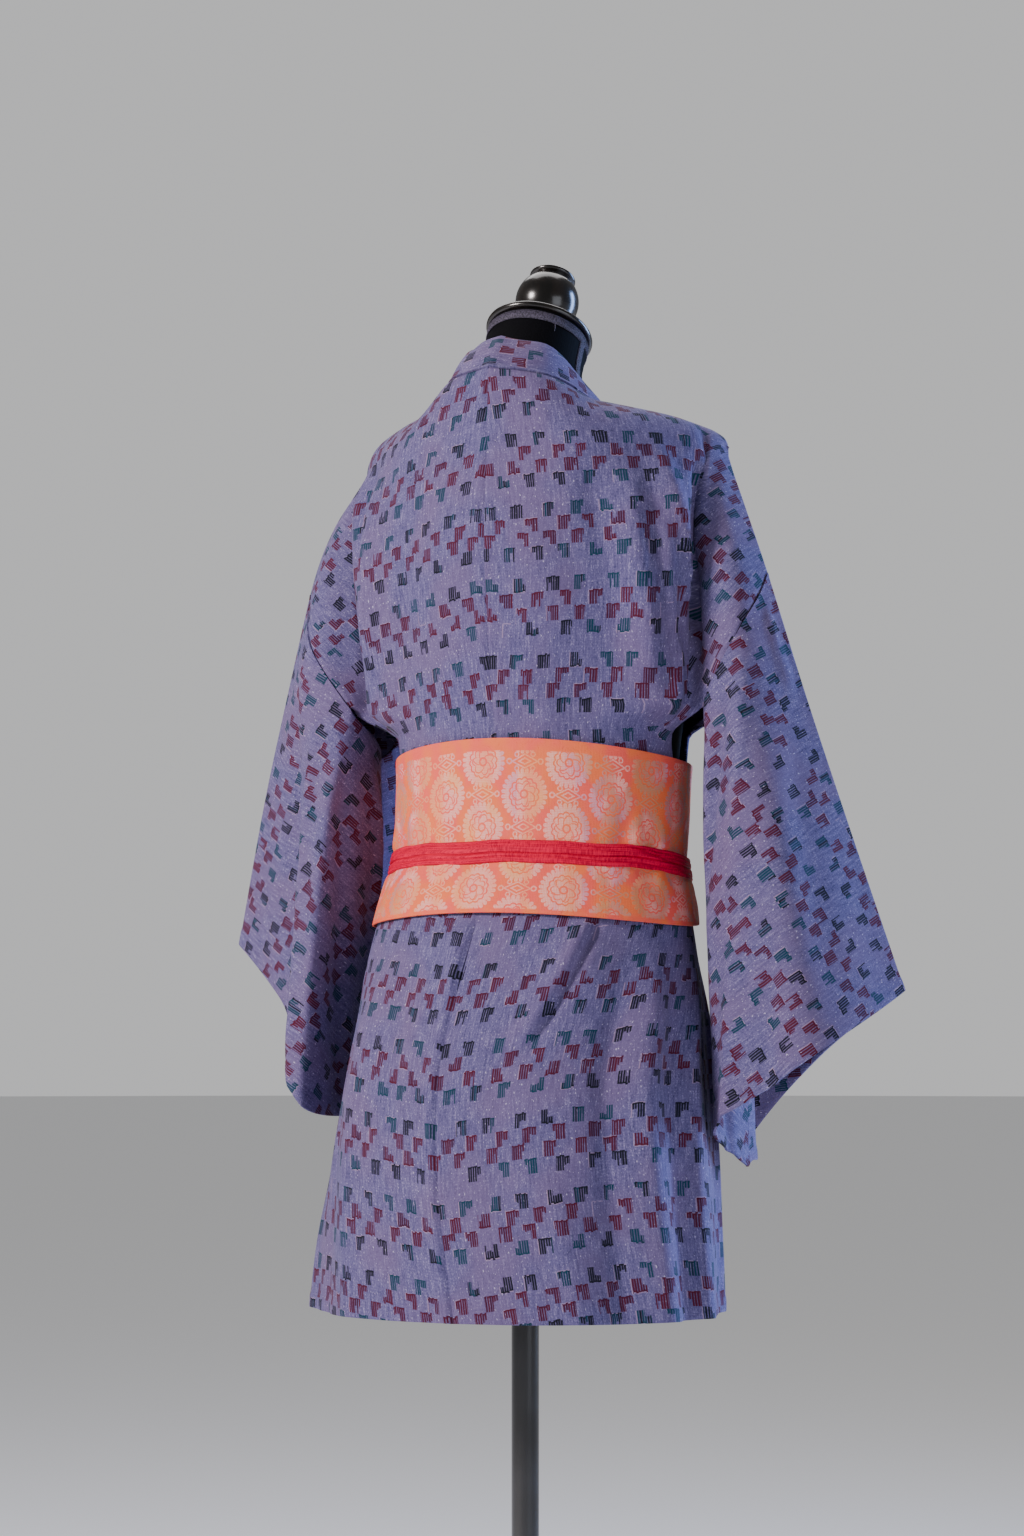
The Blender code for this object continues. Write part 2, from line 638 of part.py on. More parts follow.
def make_tie_front(surface):
    """The flat knot over the lapped front, and one short end below it on each side."""
    front = waist_point(pi, tie_z(pi), tie_standoff(pi) + TIE_THICKNESS / 2)
    knot_size = Vector((0.030, 0.012, 0.027))
    middle = front + Vector((0, -knot_size.y / 2 - TIE_GAP + KNOT_SINK, 0))
    rounded_block("tie_knot", knot_size, Matrix.Translation(middle), surface, 0.0045)
    for name, side in (("tie_end_right", RIGHT), ("tie_end_left", LEFT)):
        lean = Matrix.Rotation(side * radians(-12), 4, "Y")
        centre = middle + Vector((side * 0.0205, 0.001, -knot_size.z / 2 - 0.0348))
        rounded_block(name, Vector((0.020, 0.0030, 0.070)), Matrix.Translation(centre) @ lean, surface, 0.0012)


# ---------------------------------------------------------------- the dress form
FORM_SIDES = 32


def form_ring(z, half_width, back_y, side_y, front_y):
    ring = []
    for k in range(FORM_SIDES):
        angle = 2 * pi * k / FORM_SIDES
        depth = back_y - side_y if cos(angle) > 0 else side_y - front_y
        ring.append(Vector((half_width * sin(angle), side_y + depth * cos(angle), z)))
    return ring


def neck_ring(share):
    """A ring of the neck, from upright at its foot (0) to the cap's lean at its top (1)."""
    foot = Vector((0.0, -0.0035, 1.408))
    tilt = NECK_TILT * ease(share * 1.4)
    middle = foot.lerp(NECK_TOP, share)
    spin = Matrix.Translation(middle) @ Matrix.Rotation(tilt, 4, "X")
    radius = lerp(0.0505, NECK_RADIUS, ease(share * 2))
    turn = [2 * pi * k / FORM_SIDES for k in range(FORM_SIDES)]
    return [spin @ Vector((radius * sin(a), radius * cos(a), 0)) for a in turn]


def make_form(surface):
    """Torso and neck in one smooth skin, flat underneath."""
    rings = []
    bottom = row_at(TORSO, FORM_BOTTOM_Z + 0.012)
    rings.append(form_ring(FORM_BOTTOM_Z, bottom.half_width - 0.030, bottom.back_y - 0.030,
                           bottom.side_y, bottom.front_y + 0.030))
    for z in levels(((FORM_BOTTOM_Z + 0.012, 3), (0.930, 2), (0.990, 2), (WAIST_Z, 5), (SHOULDER_Z, 1))):
        ring = row_at(TORSO, z)
        inset = FORM_INSET + 0.008 * ease((FORM_BOTTOM_Z + 0.04 - z) / 0.03)
        rings.append(form_ring(z, ring.half_width - inset, ring.back_y - inset, ring.side_y,
                               ring.front_y + inset))
    rings += [form_ring(*ring) for ring in FORM_TOP]
    rings += [neck_ring(k / 4) for k in range(5)]
    shape = bmesh.new()
    corners = [[shape.verts.new(point) for point in ring] for ring in rings]
    for low, high in zip(corners, corners[1:]):
        for k in range(FORM_SIDES):
            shape.faces.new((low[k], low[(k + 1) % FORM_SIDES], high[(k + 1) % FORM_SIDES], high[k]))
    shape.faces.new(corners[0])
    shape.faces.new(corners[-1])
    return from_bmesh("form_torso", shape, surface)


def bulb(radius, centre, low, high, steps):
    """Points of a ball's profile between two latitudes, in radians."""
    turn = [lerp(low, high, k / steps) for k in range(steps + 1)]
    return [(radius * cos(a), centre + radius * sin(a)) for a in turn]


def make_stand(wood, metal):
    """Cap and knob on the leaning neck, the pole, and the round weighted base."""
    lean = Matrix.Translation(NECK_TOP) @ Matrix.Rotation(NECK_TILT, 4, "X")
    cap = [(0.0440, SEAM_GAP), (0.0485, 0.0008), (0.0500, 0.0040), (0.0485, 0.0072), (0.0420, 0.0090),
           (0.0200, 0.0100)]
    turned("neck_cap", cap, wood, lean)
    knob = [(0.0180, 0.0100 + SEAM_GAP), (0.0185, 0.0160)]
    knob += bulb(0.0295, 0.0420, radians(-38), radians(50), 8)
    knob += [(0.0196, 0.0655), (0.0215, 0.0672), (0.0215, 0.0700), (0.0196, 0.0720), (0.0110, 0.0738)]
    turned("neck_knob", knob, wood, lean)
    turned("pole", [(POLE_RADIUS, 0.030 + SEAM_GAP), (POLE_RADIUS, FORM_BOTTOM_Z - SEAM_GAP)], metal, sides=24)
    base = [(BASE_RADIUS - 0.003, 0.0), (BASE_RADIUS, 0.003), (BASE_RADIUS, 0.009), (BASE_RADIUS - 0.004, 0.013),
            (0.100, 0.018), (0.034, 0.022), (0.024, 0.030)]
    turned("base", base, metal, sides=48)


def main():
    for thing in list(bpy.data.objects):
        bpy.data.objects.remove(thing, do_unlink=True)
    kasuri = material("kasuri_cloth", (0.24, 0.21, 0.38), 0.85, sheen=0.3)
    brocade = material("obi_brocade", (0.80, 0.27, 0.16), 0.60, sheen=0.2)
    crimson = material("tie_crimson", (0.62, 0.01, 0.05), 0.55, sheen=0.2)
    jersey = material("form_jersey", (0.012, 0.012, 0.014), 0.85)
    wood = material("lacquered_wood", (0.020, 0.014, 0.012), 0.18)
    metal = material("black_enamel", (0.010, 0.010, 0.012), 0.20)
    make_body("body_right", RIGHT, kasuri)
    make_body("body_left", LEFT, kasuri)
    make_sleeve("sleeve_right", RIGHT, kasuri)
    make_sleeve("sleeve_left", LEFT, kasuri)
    make_collar(kasuri)
    make_obi(brocade)
    make_tie(crimson)
    make_tie_front(crimson)
    make_form(jersey)
    make_stand(wood, metal)


main()
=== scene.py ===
"""Looks of a haori jacket belted on a limbless dress form.

Each piece of cloth is a thin shell on the form its cut gives it, with listed creases and a
flat chart of its own, in metres along and across the warp, that carries the woven pattern.
Metres, +Z up. The wearer faces -Y, so the wearer's right is -X.
"""
from collections import namedtuple
from math import asin, cos, pi, radians, sin

import bmesh
import bpy
import numpy as np
from mathutils import Matrix, Vector


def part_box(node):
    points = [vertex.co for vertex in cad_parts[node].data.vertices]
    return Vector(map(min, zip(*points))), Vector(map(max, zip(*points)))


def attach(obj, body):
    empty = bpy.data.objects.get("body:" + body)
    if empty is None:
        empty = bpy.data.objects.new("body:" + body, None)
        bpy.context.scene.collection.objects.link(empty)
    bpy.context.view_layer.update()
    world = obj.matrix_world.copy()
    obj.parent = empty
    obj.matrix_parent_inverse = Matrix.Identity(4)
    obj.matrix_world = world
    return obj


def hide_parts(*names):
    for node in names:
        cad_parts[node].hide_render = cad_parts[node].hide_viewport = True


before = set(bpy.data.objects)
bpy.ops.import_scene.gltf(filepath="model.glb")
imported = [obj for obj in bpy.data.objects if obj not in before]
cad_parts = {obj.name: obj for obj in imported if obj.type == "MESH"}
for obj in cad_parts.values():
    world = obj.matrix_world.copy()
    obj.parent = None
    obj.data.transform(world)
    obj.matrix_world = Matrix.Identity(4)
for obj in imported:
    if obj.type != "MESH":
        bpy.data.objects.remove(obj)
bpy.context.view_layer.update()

# ---------------------------------------------------------------- sizes
CLOTH = 0.0013              # one layer of the jacket
HEM_CLOTH = 0.0030          # the jacket's edges, where the cloth is turned in twice
HEM_DEPTH = 0.014
BAND_CLOTH = 0.0026
SEAM_GAP = 0.0003
SEAM_DIP = 0.0011           # how far the cloth sinks into a seam
SEAM_WIDTH = 0.0016
SEAM_SWELL = 0.0008         # how far the left panel stands up beside the back seam
SKIRT_SWELL = 0.0026        # and how much more it does in the skirt
SWELL_PLACE = 0.006
SWELL_WIDTH = 0.008
CREASE_DEPTH = 1.9          # every crease's height is worked up by this
HEM_Z = 0.573
SLIT_Z = 1.000
WAIST_Z = 1.092
UNDERARM_Z = 1.120
ARM_TOP_Z = 1.236
SHOULDER_Z = 1.345
CUFF_Z = 0.860
LEFT_CUFF_LIFT = 0.045
SLEEVE_DROP = 0.38
ARMHOLE = 0.19
SLEEVE_SAG = 0.034
SLEEVE_WALL_GAP = 0.0010
COLLAR_WALL_GAP = 0.0010
COLLAR_WIDTH = 0.047
FRONT_LAP = 0.0055
OBI_CLOTH = 0.0022
OBI_STANDOFF = 0.0042
OBI_LAP = radians(38)
OBI_LAP_RISE = 0.0042       # how far the lapped end stands off the start it covers
TIE_PULL = 0.0009           # how far the tie draws the obi in
OBI_BOTTOM_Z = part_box("obi")[0][2]
TIE_HEIGHT = 0.021
TIE_THICKNESS = 0.0036
POLE_RADIUS = 0.0125
NECK_TILT = radians(28)
NECK_RADIUS = 0.0465
NECK_TOP = Vector((0.0, -0.030, 1.462))
FORM_BOTTOM_Z = 0.800
FORM_INSET = 0.0065
BASE_RADIUS = 0.180
CHART_CUT_Z = 1.010         # under the obi, where the skirt's chart ends and the shoulders' starts
FLAP_TURN = radians(40)     # the weave of the flap that falls off the shoulder, past the valley
SIDE_CHART = 0.60           # where the front panels' charts start, past the side seam
RIGHT = -1
LEFT = 1

# ---------------------------------------------------------------- tables of sections
Ring = namedtuple("Ring", "z half_width back_y side_y front_y")
TORSO = (
    Ring(0.573, 0.183, 0.168, 0.018, -0.132),
    Ring(0.660, 0.178, 0.159, 0.012, -0.135),
    Ring(0.760, 0.170, 0.143, 0.003, -0.137),
    Ring(0.850, 0.160, 0.122, -0.010, -0.142),
    Ring(0.930, 0.146, 0.096, -0.021, -0.140),
    Ring(0.980, 0.133, 0.073, -0.030, -0.136),
    Ring(1.080, 0.136, 0.067, -0.040, -0.149),
    Ring(1.150, 0.147, 0.077, -0.038, -0.157),
    Ring(1.240, 0.157, 0.089, -0.034, -0.160),
    Ring(1.300, 0.161, 0.088, -0.034, -0.148),
    Ring(1.345, 0.164, 0.083, -0.036, -0.122),
)
FORM_TOP = (
    Ring(1.358, 0.138, 0.072, -0.034, -0.100),
    Ring(1.371, 0.098, 0.060, -0.026, -0.080),
    Ring(1.383, 0.069, 0.053, -0.014, -0.064),
    Ring(1.397, 0.054, 0.048, -0.004, -0.054),
)

Flap = namedtuple("Flap", "z blade_out blade_y valley_out valley_y ridge_out ridge_y "
                          "bulge_out bulge_y fold_out fold_y")
BACK_FLAP = (
    Flap(1.120, 0.148, 0.022, 0.157, -0.006, 0.176, -0.004, 0.219, 0.008, 0.256, -0.046),
    Flap(1.236, 0.158, 0.032, 0.163, -0.012, 0.177, -0.002, 0.204, -0.002, 0.222, -0.036),
    Flap(1.300, 0.161, 0.018, 0.165, -0.014, 0.173, -0.010, 0.188, -0.016, 0.198, -0.040),
    Flap(1.345, 0.160, -0.004, 0.167, -0.022, 0.172, -0.024, 0.177, -0.034, 0.180, -0.046),
)
FRONT_FLAP = (
    Flap(1.120, 0.144, -0.100, 0.155, -0.074, 0.169, -0.090, 0.211, -0.098, 0.256, -0.046),
    Flap(1.236, 0.156, -0.102, 0.163, -0.074, 0.175, -0.084, 0.202, -0.078, 0.222, -0.036),
    Flap(1.300, 0.160, -0.092, 0.165, -0.070, 0.173, -0.074, 0.188, -0.062, 0.198, -0.040),
    Flap(1.345, 0.161, -0.076, 0.167, -0.066, 0.172, -0.064, 0.177, -0.056, 0.180, -0.046),
)

Spread = namedtuple("Spread", "z out")
LEFT_SPREAD = (
    Spread(0.860, 0.000),
    Spread(1.060, 0.012),
    Spread(1.236, 0.017),
    Spread(1.300, 0.016),
    Spread(1.345, 0.002),
)

Bag = namedtuple("Bag", "z fold_out fold_y bulge_out bulge_y ridge_out ridge_y "
                        "inner_out inner_y seam_out seam_y")
RIGHT_SLEEVE_BACK = (
    Bag(0.700, 0.384, -0.096, 0.306, 0.034, 0.197, 0.018, 0.190, -0.036, 0.189, -0.070),
    Bag(0.860, 0.336, -0.076, 0.277, 0.028, 0.186, 0.008, 0.181, -0.040, 0.187, -0.070),
    Bag(1.000, 0.293, -0.058, 0.247, 0.022, 0.178, 0.002, 0.173, -0.038, 0.180, -0.064),
    Bag(1.120, 0.256, -0.046, 0.219, 0.008, 0.176, -0.004, 0.172, -0.030, 0.177, -0.052),
    Bag(1.236, 0.222, -0.036, 0.204, -0.002, 0.177, -0.002, 0.174, -0.020, 0.178, -0.040),
)
LEFT_SLEEVE_BACK = (
    Bag(0.700, 0.384, -0.096, 0.262, -0.020, 0.208, 0.050, 0.192, -0.020, 0.189, -0.070),
    Bag(0.860, 0.336, -0.076, 0.246, -0.022, 0.198, 0.044, 0.180, -0.026, 0.187, -0.070),
    Bag(1.000, 0.293, -0.058, 0.232, -0.016, 0.188, 0.034, 0.166, -0.028, 0.180, -0.064),
    Bag(1.120, 0.256, -0.046, 0.219, 0.004, 0.178, 0.006, 0.168, -0.030, 0.177, -0.052),
    Bag(1.236, 0.222, -0.036, 0.204, -0.002, 0.177, -0.002, 0.173, -0.020, 0.178, -0.040),
)
SLEEVE_FRONT = (
    Bag(0.700, 0.384, -0.096, 0.236, -0.148, 0.166, -0.132, 0.184, -0.104, 0.189, -0.070),
    Bag(0.860, 0.336, -0.076, 0.220, -0.144, 0.160, -0.128, 0.178, -0.100, 0.187, -0.070),
    Bag(1.000, 0.293, -0.058, 0.216, -0.126, 0.162, -0.116, 0.172, -0.092, 0.180, -0.064),
    Bag(1.120, 0.256, -0.046, 0.211, -0.098, 0.169, -0.090, 0.170, -0.074, 0.177, -0.052),
    Bag(1.236, 0.222, -0.036, 0.202, -0.078, 0.175, -0.084, 0.173, -0.060, 0.178, -0.040),
)

Sink = namedtuple("Sink", "along down")
SLEEVE_SINK = (
    Sink(0.00, 0.000),
    Sink(0.10, 0.056),
    Sink(0.19, 0.112),
    Sink(0.28, 0.142),
    Sink(0.38, 0.158),
)

Reach = namedtuple("Reach", "z out")
FRONT_EDGE = (
    Reach(0.573, -0.040),
    Reach(0.760, -0.052),
    Reach(0.930, -0.064),
    Reach(1.080, -0.050),
    Reach(1.180, -0.022),
    Reach(1.260, 0.001),
    Reach(1.345, 0.022),
)

Wander = namedtuple("Wander", "z degrees")
BACK_SEAM = (
    Wander(0.573, -2.5),
    Wander(0.700, 5.0),
    Wander(0.785, 7.5),
    Wander(0.860, 4.5),
    Wander(0.930, 1.0),
    Wander(1.000, 0.0),
)

Neck = namedtuple("Neck", "at seam_out seam_y seam_z edge_out edge_y edge_z")
NECKLINE = (
    Neck(0.0, 0.000, 0.079, 1.419, 0.000, 0.052, 1.451),
    Neck(0.5, 0.047, 0.059, 1.411, 0.039, 0.038, 1.442),
    Neck(1.0, 0.068, 0.004, 1.395, 0.0555, -0.008, 1.414),
    Neck(1.5, 0.071, -0.062, 1.376, 0.047, -0.074, 1.384),
    Neck(2.0, 0.069, -0.114, 1.345, 0.022, -0.1215, 1.345),
)
NECK_SHARE = 0.28
BLADE_SHARE = 0.42
VALLEY_SHARE = 0.54
RIDGE_SHARE = 0.68

Ridge = namedtuple("Ridge", "at out y z")
SHOULDER_RIDGE = (
    Ridge(0.28, 0.068, 0.004, 1.395),
    Ridge(0.42, 0.122, -0.020, 1.382),
    Ridge(0.54, 0.156, -0.036, 1.372),
    Ridge(0.68, 0.168, -0.042, 1.367),
    Ridge(0.84, 0.176, -0.046, 1.361),
    Ridge(1.00, 0.1815, -0.047, 1.352),
)

Fold = namedtuple("Fold", "side top_z bottom_z top_angle bottom_angle spread height")
SKIRT_FOLDS = (
    Fold(RIGHT, 0.935, 0.750, 45, 12, 6, 0.0050),
    Fold(RIGHT, 0.900, 0.560, 62, 68, 7, 0.0040),
    Fold(RIGHT, 0.820, 0.560, 84, 92, 7, 0.0055),
    Fold(RIGHT, 0.920, 0.560, 128, 122, 8, 0.0050),
    Fold(LEFT, 0.925, 0.560, 38, 30, 7, 0.0040),
    Fold(LEFT, 0.860, 0.560, 74, 80, 8, 0.0055),
    Fold(LEFT, 0.930, 0.600, 108, 118, 7, 0.0045),
    Fold(LEFT, 0.900, 0.560, 146, 140, 7, 0.0040),
)

Knot = namedtuple("Knot", "at out y")

# Creases, listed one by one. A body panel's places are metres round from its inner seam and height above
# the floor; a sleeve's are metres down its outer fold and metres in along the row. A trough is negative.
# Its edge is how sharply it drops: above zero on the far side from the inner seam or fold, below on
# the near side.
Crease = namedtuple("Crease", "from_a from_b to_a to_b bow width height edge")
CREASES = {
    "body_right_back": (
        Crease(0.108, 0.948, 0.064, 0.795, 0.007, 0.0060, 0.0034, 0.9),
        Crease(0.115, 0.948, 0.070, 0.785, 0.007, 0.0034, -0.0026, 0.0),
        Crease(0.055, 0.860, 0.050, 0.640, 0.004, 0.0180, -0.0020, 0.0),
        Crease(0.146, 0.900, 0.140, 0.450, 0.010, 0.0120, -0.0030, 0.0),
        Crease(0.172, 0.930, 0.185, 0.470, 0.016, 0.0130, 0.0048, 0.2),
        Crease(0.205, 0.900, 0.214, 0.450, 0.014, 0.0110, -0.0034, 0.0),
        Crease(0.236, 0.915, 0.240, 0.480, 0.010, 0.0110, 0.0042, -0.2),
        Crease(0.100, 0.720, 0.112, 0.480, 0.004, 0.0150, 0.0024, 0.0),
        Crease(0.128, 1.345, 0.150, 1.120, 0.008, 0.0085, 0.0046, 0.6),
        Crease(0.144, 1.300, 0.163, 1.100, 0.004, 0.0070, -0.0034, 0.0),
        Crease(0.152, 1.362, 0.190, 1.180, 0.012, 0.0070, 0.0048, 0.5),
        Crease(0.172, 1.300, 0.184, 1.120, 0.004, 0.0060, -0.0040, 0.0),
        Crease(0.192, 1.355, 0.206, 1.140, 0.010, 0.0060, -0.0046, 0.0),
        Crease(0.206, 1.352, 0.222, 1.230, 0.004, 0.0070, 0.0036, 0.0),
        Crease(0.090, 1.340, 0.120, 1.140, 0.006, 0.0120, -0.0022, 0.0),
        Crease(0.050, 1.300, 0.120, 1.115, 0.010, 0.0170, -0.0014, 0.0),
        Crease(0.020, 1.160, 0.060, 1.085, 0.002, 0.0120, 0.0013, 0.0),
        Crease(0.180, 1.180, 0.158, 1.085, 0.002, 0.0070, 0.0030, 0.0),
    ),
    "body_left_back": (
        Crease(0.160, 1.362, 0.166, 1.120, 0.012, 0.0070, -0.0042, 0.0),
        Crease(0.144, 1.350, 0.150, 1.120, 0.006, 0.0080, 0.0028, 0.3),
        Crease(0.186, 1.352, 0.190, 1.140, 0.006, 0.0080, 0.0034, 0.0),
        Crease(0.060, 1.320, 0.110, 1.120, 0.008, 0.0180, -0.0014, 0.0),
        Crease(0.020, 0.938, 0.006, 0.850, 0.002, 0.0070, 0.0022, 0.4),
        Crease(0.052, 0.925, 0.044, 0.700, 0.006, 0.0150, -0.0020, 0.0),
        Crease(0.104, 0.900, 0.112, 0.470, 0.006, 0.0180, 0.0028, 0.0),
        Crease(0.160, 0.880, 0.172, 0.450, 0.008, 0.0150, -0.0030, 0.0),
        Crease(0.220, 0.900, 0.228, 0.460, 0.008, 0.0140, 0.0040, 0.0),
    ),
    "body_right_front": (
        Crease(0.060, 0.920, 0.052, 0.460, 0.006, 0.0160, 0.0026, 0.0),
        Crease(0.120, 0.900, 0.132, 0.470, 0.008, 0.0140, -0.0030, 0.0),
        Crease(0.176, 0.915, 0.184, 0.450, 0.008, 0.0140, 0.0038, 0.2),
        Crease(0.070, 1.280, 0.100, 1.115, 0.008, 0.0120, 0.0022, 0.0),
        Crease(0.030, 1.180, 0.060, 1.090, 0.004, 0.0090, -0.0022, 0.0),
    ),
    "body_left_front": (
        Crease(0.050, 0.900, 0.060, 0.470, 0.006, 0.0150, -0.0026, 0.0),
        Crease(0.110, 0.925, 0.104, 0.450, 0.008, 0.0150, 0.0034, 0.0),
        Crease(0.172, 0.890, 0.186, 0.460, 0.008, 0.0130, -0.0032, 0.0),
        Crease(0.074, 1.270, 0.096, 1.120, 0.006, 0.0110, -0.0022, 0.0),
        Crease(0.034, 1.190, 0.070, 1.095, 0.004, 0.0100, 0.0022, 0.0),
    ),
    "sleeve_right_back": (
        Crease(0.230, 0.150, 0.430, 0.178, 0.004, 0.0085, -0.0046, 0.0),
        Crease(0.270, 0.122, 0.430, 0.134, 0.003, 0.0100, 0.0036, 0.0),
        Crease(0.020, 0.090, 0.240, 0.150, 0.010, 0.0150, -0.0026, 0.0),
        Crease(0.010, 0.128, 0.200, 0.206, 0.006, 0.0100, 0.0030, 0.2),
        Crease(0.010, 0.030, 0.110, 0.016, 0.003, 0.0060, -0.0020, 0.0),
        Crease(0.140, 0.236, 0.430, 0.262, 0.006, 0.0110, -0.0034, 0.0),
        Crease(0.120, 0.040, 0.400, 0.060, 0.010, 0.0180, 0.0018, 0.0),
    ),
    "sleeve_right_front": (
        Crease(0.020, 0.070, 0.430, 0.120, 0.010, 0.0160, -0.0034, 0.0),
        Crease(0.080, 0.150, 0.430, 0.200, 0.008, 0.0140, 0.0036, 0.0),
        Crease(0.030, 0.240, 0.300, 0.290, 0.006, 0.0110, -0.0030, 0.0),
    ),
    "sleeve_left_back": (
        Crease(0.030, 0.124, 0.430, 0.166, 0.008, 0.0120, -0.0058, 0.0),
        Crease(0.030, 0.064, 0.380, 0.078, 0.006, 0.0140, 0.0034, 0.0),
        Crease(0.020, 0.206, 0.400, 0.262, 0.006, 0.0110, 0.0036, 0.3),
        Crease(0.010, 0.250, 0.300, 0.330, 0.006, 0.0090, -0.0040, 0.0),
        Crease(0.200, 0.100, 0.420, 0.112, 0.004, 0.0070, 0.0026, 0.0),
    ),
    "sleeve_left_front": (
        Crease(0.020, 0.080, 0.430, 0.130, 0.010, 0.0150, 0.0034, 0.0),
        Crease(0.060, 0.180, 0.420, 0.220, 0.008, 0.0140, -0.0034, 0.0),
    ),
}

Lean = namedtuple("Lean", "place right left")
# How much the woven rows drop with distance from the back seam; a place past SHOULDER_Z is on the
# turn over the shoulder.
WEAVE_LEAN = (
    Lean(0.573, -0.150, -0.130),
    Lean(0.800, -0.140, -0.110),
    Lean(0.930, -0.060, -0.040),
    Lean(1.010, -0.020, 0.040),
    Lean(1.236, -0.020, 0.190),
    Lean(1.345, 0.060, 0.300),
    Lean(1.395, 0.160, 0.320),
)


# ---------------------------------------------------------------- curves
def slope(rows, k, column):
    """Slope of one column at row k, from the rows on either side."""
    below = rows[max(k - 1, 0)]
    above = rows[min(k + 1, len(rows) - 1)]
    return (above[column] - below[column]) / (above[0] - below[0])


def row_at(table, key):
    """The row of a table at a key between its rows, each column a smooth curve, held at the ends."""
    if key <= table[0][0]:
        return table[0]
    if key >= table[-1][0]:
        return table[-1]
    k = max(i for i, row in enumerate(table) if row[0] <= key)
    low, high = table[k], table[k + 1]
    span = high[0] - low[0]
    s = (key - low[0]) / span
    values = []
    for column in range(len(low)):
        start = slope(table, k, column) * span
        end = slope(table, k + 1, column) * span
        a, b = low[column], high[column]
        bend = 3 * (b - a) - 2 * start - end + s * (2 * (a - b) + start + end)
        values.append(a + s * (start + s * bend))
    return type(low)(*values)


def ease(x):
    """0 to 1, level at both ends; a number or a whole array."""
    x = np.clip(x, 0.0, 1.0)
    return x * x * (3 - 2 * x)


def lerp(a, b, s):
    return a + (b - a) * s


def levels(stops, step):
    """Heights that pass through each stop, no farther apart than the step."""
    heights = []
    for low, high in zip(stops, stops[1:]):
        count = max(1, round((high - low) / step))
        heights += [lerp(low, high, k / count) for k in range(count)]
    return heights + [stops[-1]]


def shares(count, edge):
    """Places from 0 to 1, crowded at both ends where seams and hems lie."""
    ends = [0.0, edge, 2.4 * edge, 4.5 * edge]
    return ends + list(np.linspace(7 * edge, 1 - 7 * edge, count)) + [1 - x for x in reversed(ends)]


# ---------------------------------------------------------------- the torso's sections
def back_shift(side, z):
    return side * radians(row_at(BACK_SEAM, z).degrees)


def fold_height(side, z, angle):
    """How far the skirt's folds lift the cloth at this place."""
    lift = 0.0
    for fold in SKIRT_FOLDS:
        if fold.side != side or not fold.bottom_z < z < fold.top_z:
            continue
        s = (fold.top_z - z) / (fold.top_z - fold.bottom_z)
        off = (angle - radians(lerp(fold.top_angle, fold.bottom_angle, s))) / radians(fold.spread)
        at_hem = fold.bottom_z < HEM_Z
        fade = ease(s / 0.25) * (1.0 if at_hem else ease((1 - s) / 0.35))
        lift += fold.height * fade / (1 + off * off) ** 2
    return lift


def on_torso(side, z, angle, proud=0.0):
    """(out, y) on the jacket's ring. The angle runs from the back (0) past the side to the front (pi)."""
    ring = row_at(TORSO, z)
    depth = ring.back_y - ring.side_y if cos(angle) > 0 else ring.side_y - ring.front_y
    off = proud + fold_height(side, z, angle)
    return Vector(((ring.half_width + off) * sin(angle), ring.side_y + (depth + off) * cos(angle)))


def front_angle(z, out):
    return pi - asin(out / row_at(TORSO, z).half_width)


def lap(side, angle):
    return FRONT_LAP * ease((angle - radians(122)) / radians(24)) if side == LEFT else 0.0


def along_at(down):
    """How far in along the sleeve's row the cloth has sunk by this much."""
    low, high = 0.0, SLEEVE_DROP
    for _ in range(30):
        middle = (low + high) / 2
        if row_at(SLEEVE_SINK, middle).down < down:
            low = middle
        else:
            high = middle
    return low


def section_end(z):
    """Share of the section that the body keeps at this height."""
    if z >= ARM_TOP_Z:
        return 1.0
    if z >= UNDERARM_Z:
        return lerp(1.0, RIDGE_SHARE, min(along_at(ARM_TOP_Z - z) / ARMHOLE, 1.0))
    if z >= WAIST_Z:
        return RIDGE_SHARE
    return lerp(1.0, RIDGE_SHARE, ease((z - SLIT_Z) / (WAIST_Z - SLIT_Z)))


def spread(side, z):
    return row_at(LEFT_SPREAD, z).out if side == LEFT else 0.0


def flap_knots(side, z, flap, angles):
    """Knots from the blade's edge to the outer fold; under the arm they settle onto the torso."""
    free = ease((z - WAIST_Z) / (UNDERARM_Z - WAIST_Z))
    wide = spread(side, z)
    places = ((flap.blade_out, flap.blade_y), (flap.valley_out, flap.valley_y),
              (flap.ridge_out, flap.ridge_y),
              (flap.bulge_out + wide / 2, flap.bulge_y), (flap.fold_out + wide, flap.fold_y))
    knots = []
    for at, angle, place in zip((BLADE_SHARE, VALLEY_SHARE, RIDGE_SHARE, 0.84, 1.0), angles, places):
        turn = radians(angle)
        point = on_torso(side, z, turn, lap(side, turn)).lerp(Vector(place), free)
        knots.append(Knot(at, point.x, point.y))
    return knots


def back_knots(side, z):
    start = back_shift(side, z)
    knots = []
    for at, angle in ((0.0, 0), (0.14, 19), (0.28, 37)):
        point = on_torso(side, z, radians(angle) + start * (1 - at / BLADE_SHARE))
        knots.append(Knot(at, point.x, point.y))
    return knots + flap_knots(side, z, row_at(BACK_FLAP, z), (54, 68, 80, 89, 97))


def front_knots(side, z):
    start = front_angle(z, row_at(FRONT_EDGE, z).out + COLLAR_WIDTH)
    knots = []
    for at in (0.0, 0.14, 0.28):
        angle = lerp(start, radians(133), at / BLADE_SHARE)
        point = on_torso(side, z, angle, lap(side, angle))
        knots.append(Knot(at, point.x, point.y))
    return knots + flap_knots(side, z, row_at(FRONT_FLAP, z), (133, 122, 113, 105, 97))


def neck_at(side, at):
    neck = row_at(NECKLINE, at)
    over = FRONT_LAP * ease((at - 1.2) / 0.8) if side == LEFT else 0.0
    return neck._replace(seam_y=neck.seam_y - over, edge_y=neck.edge_y - over)


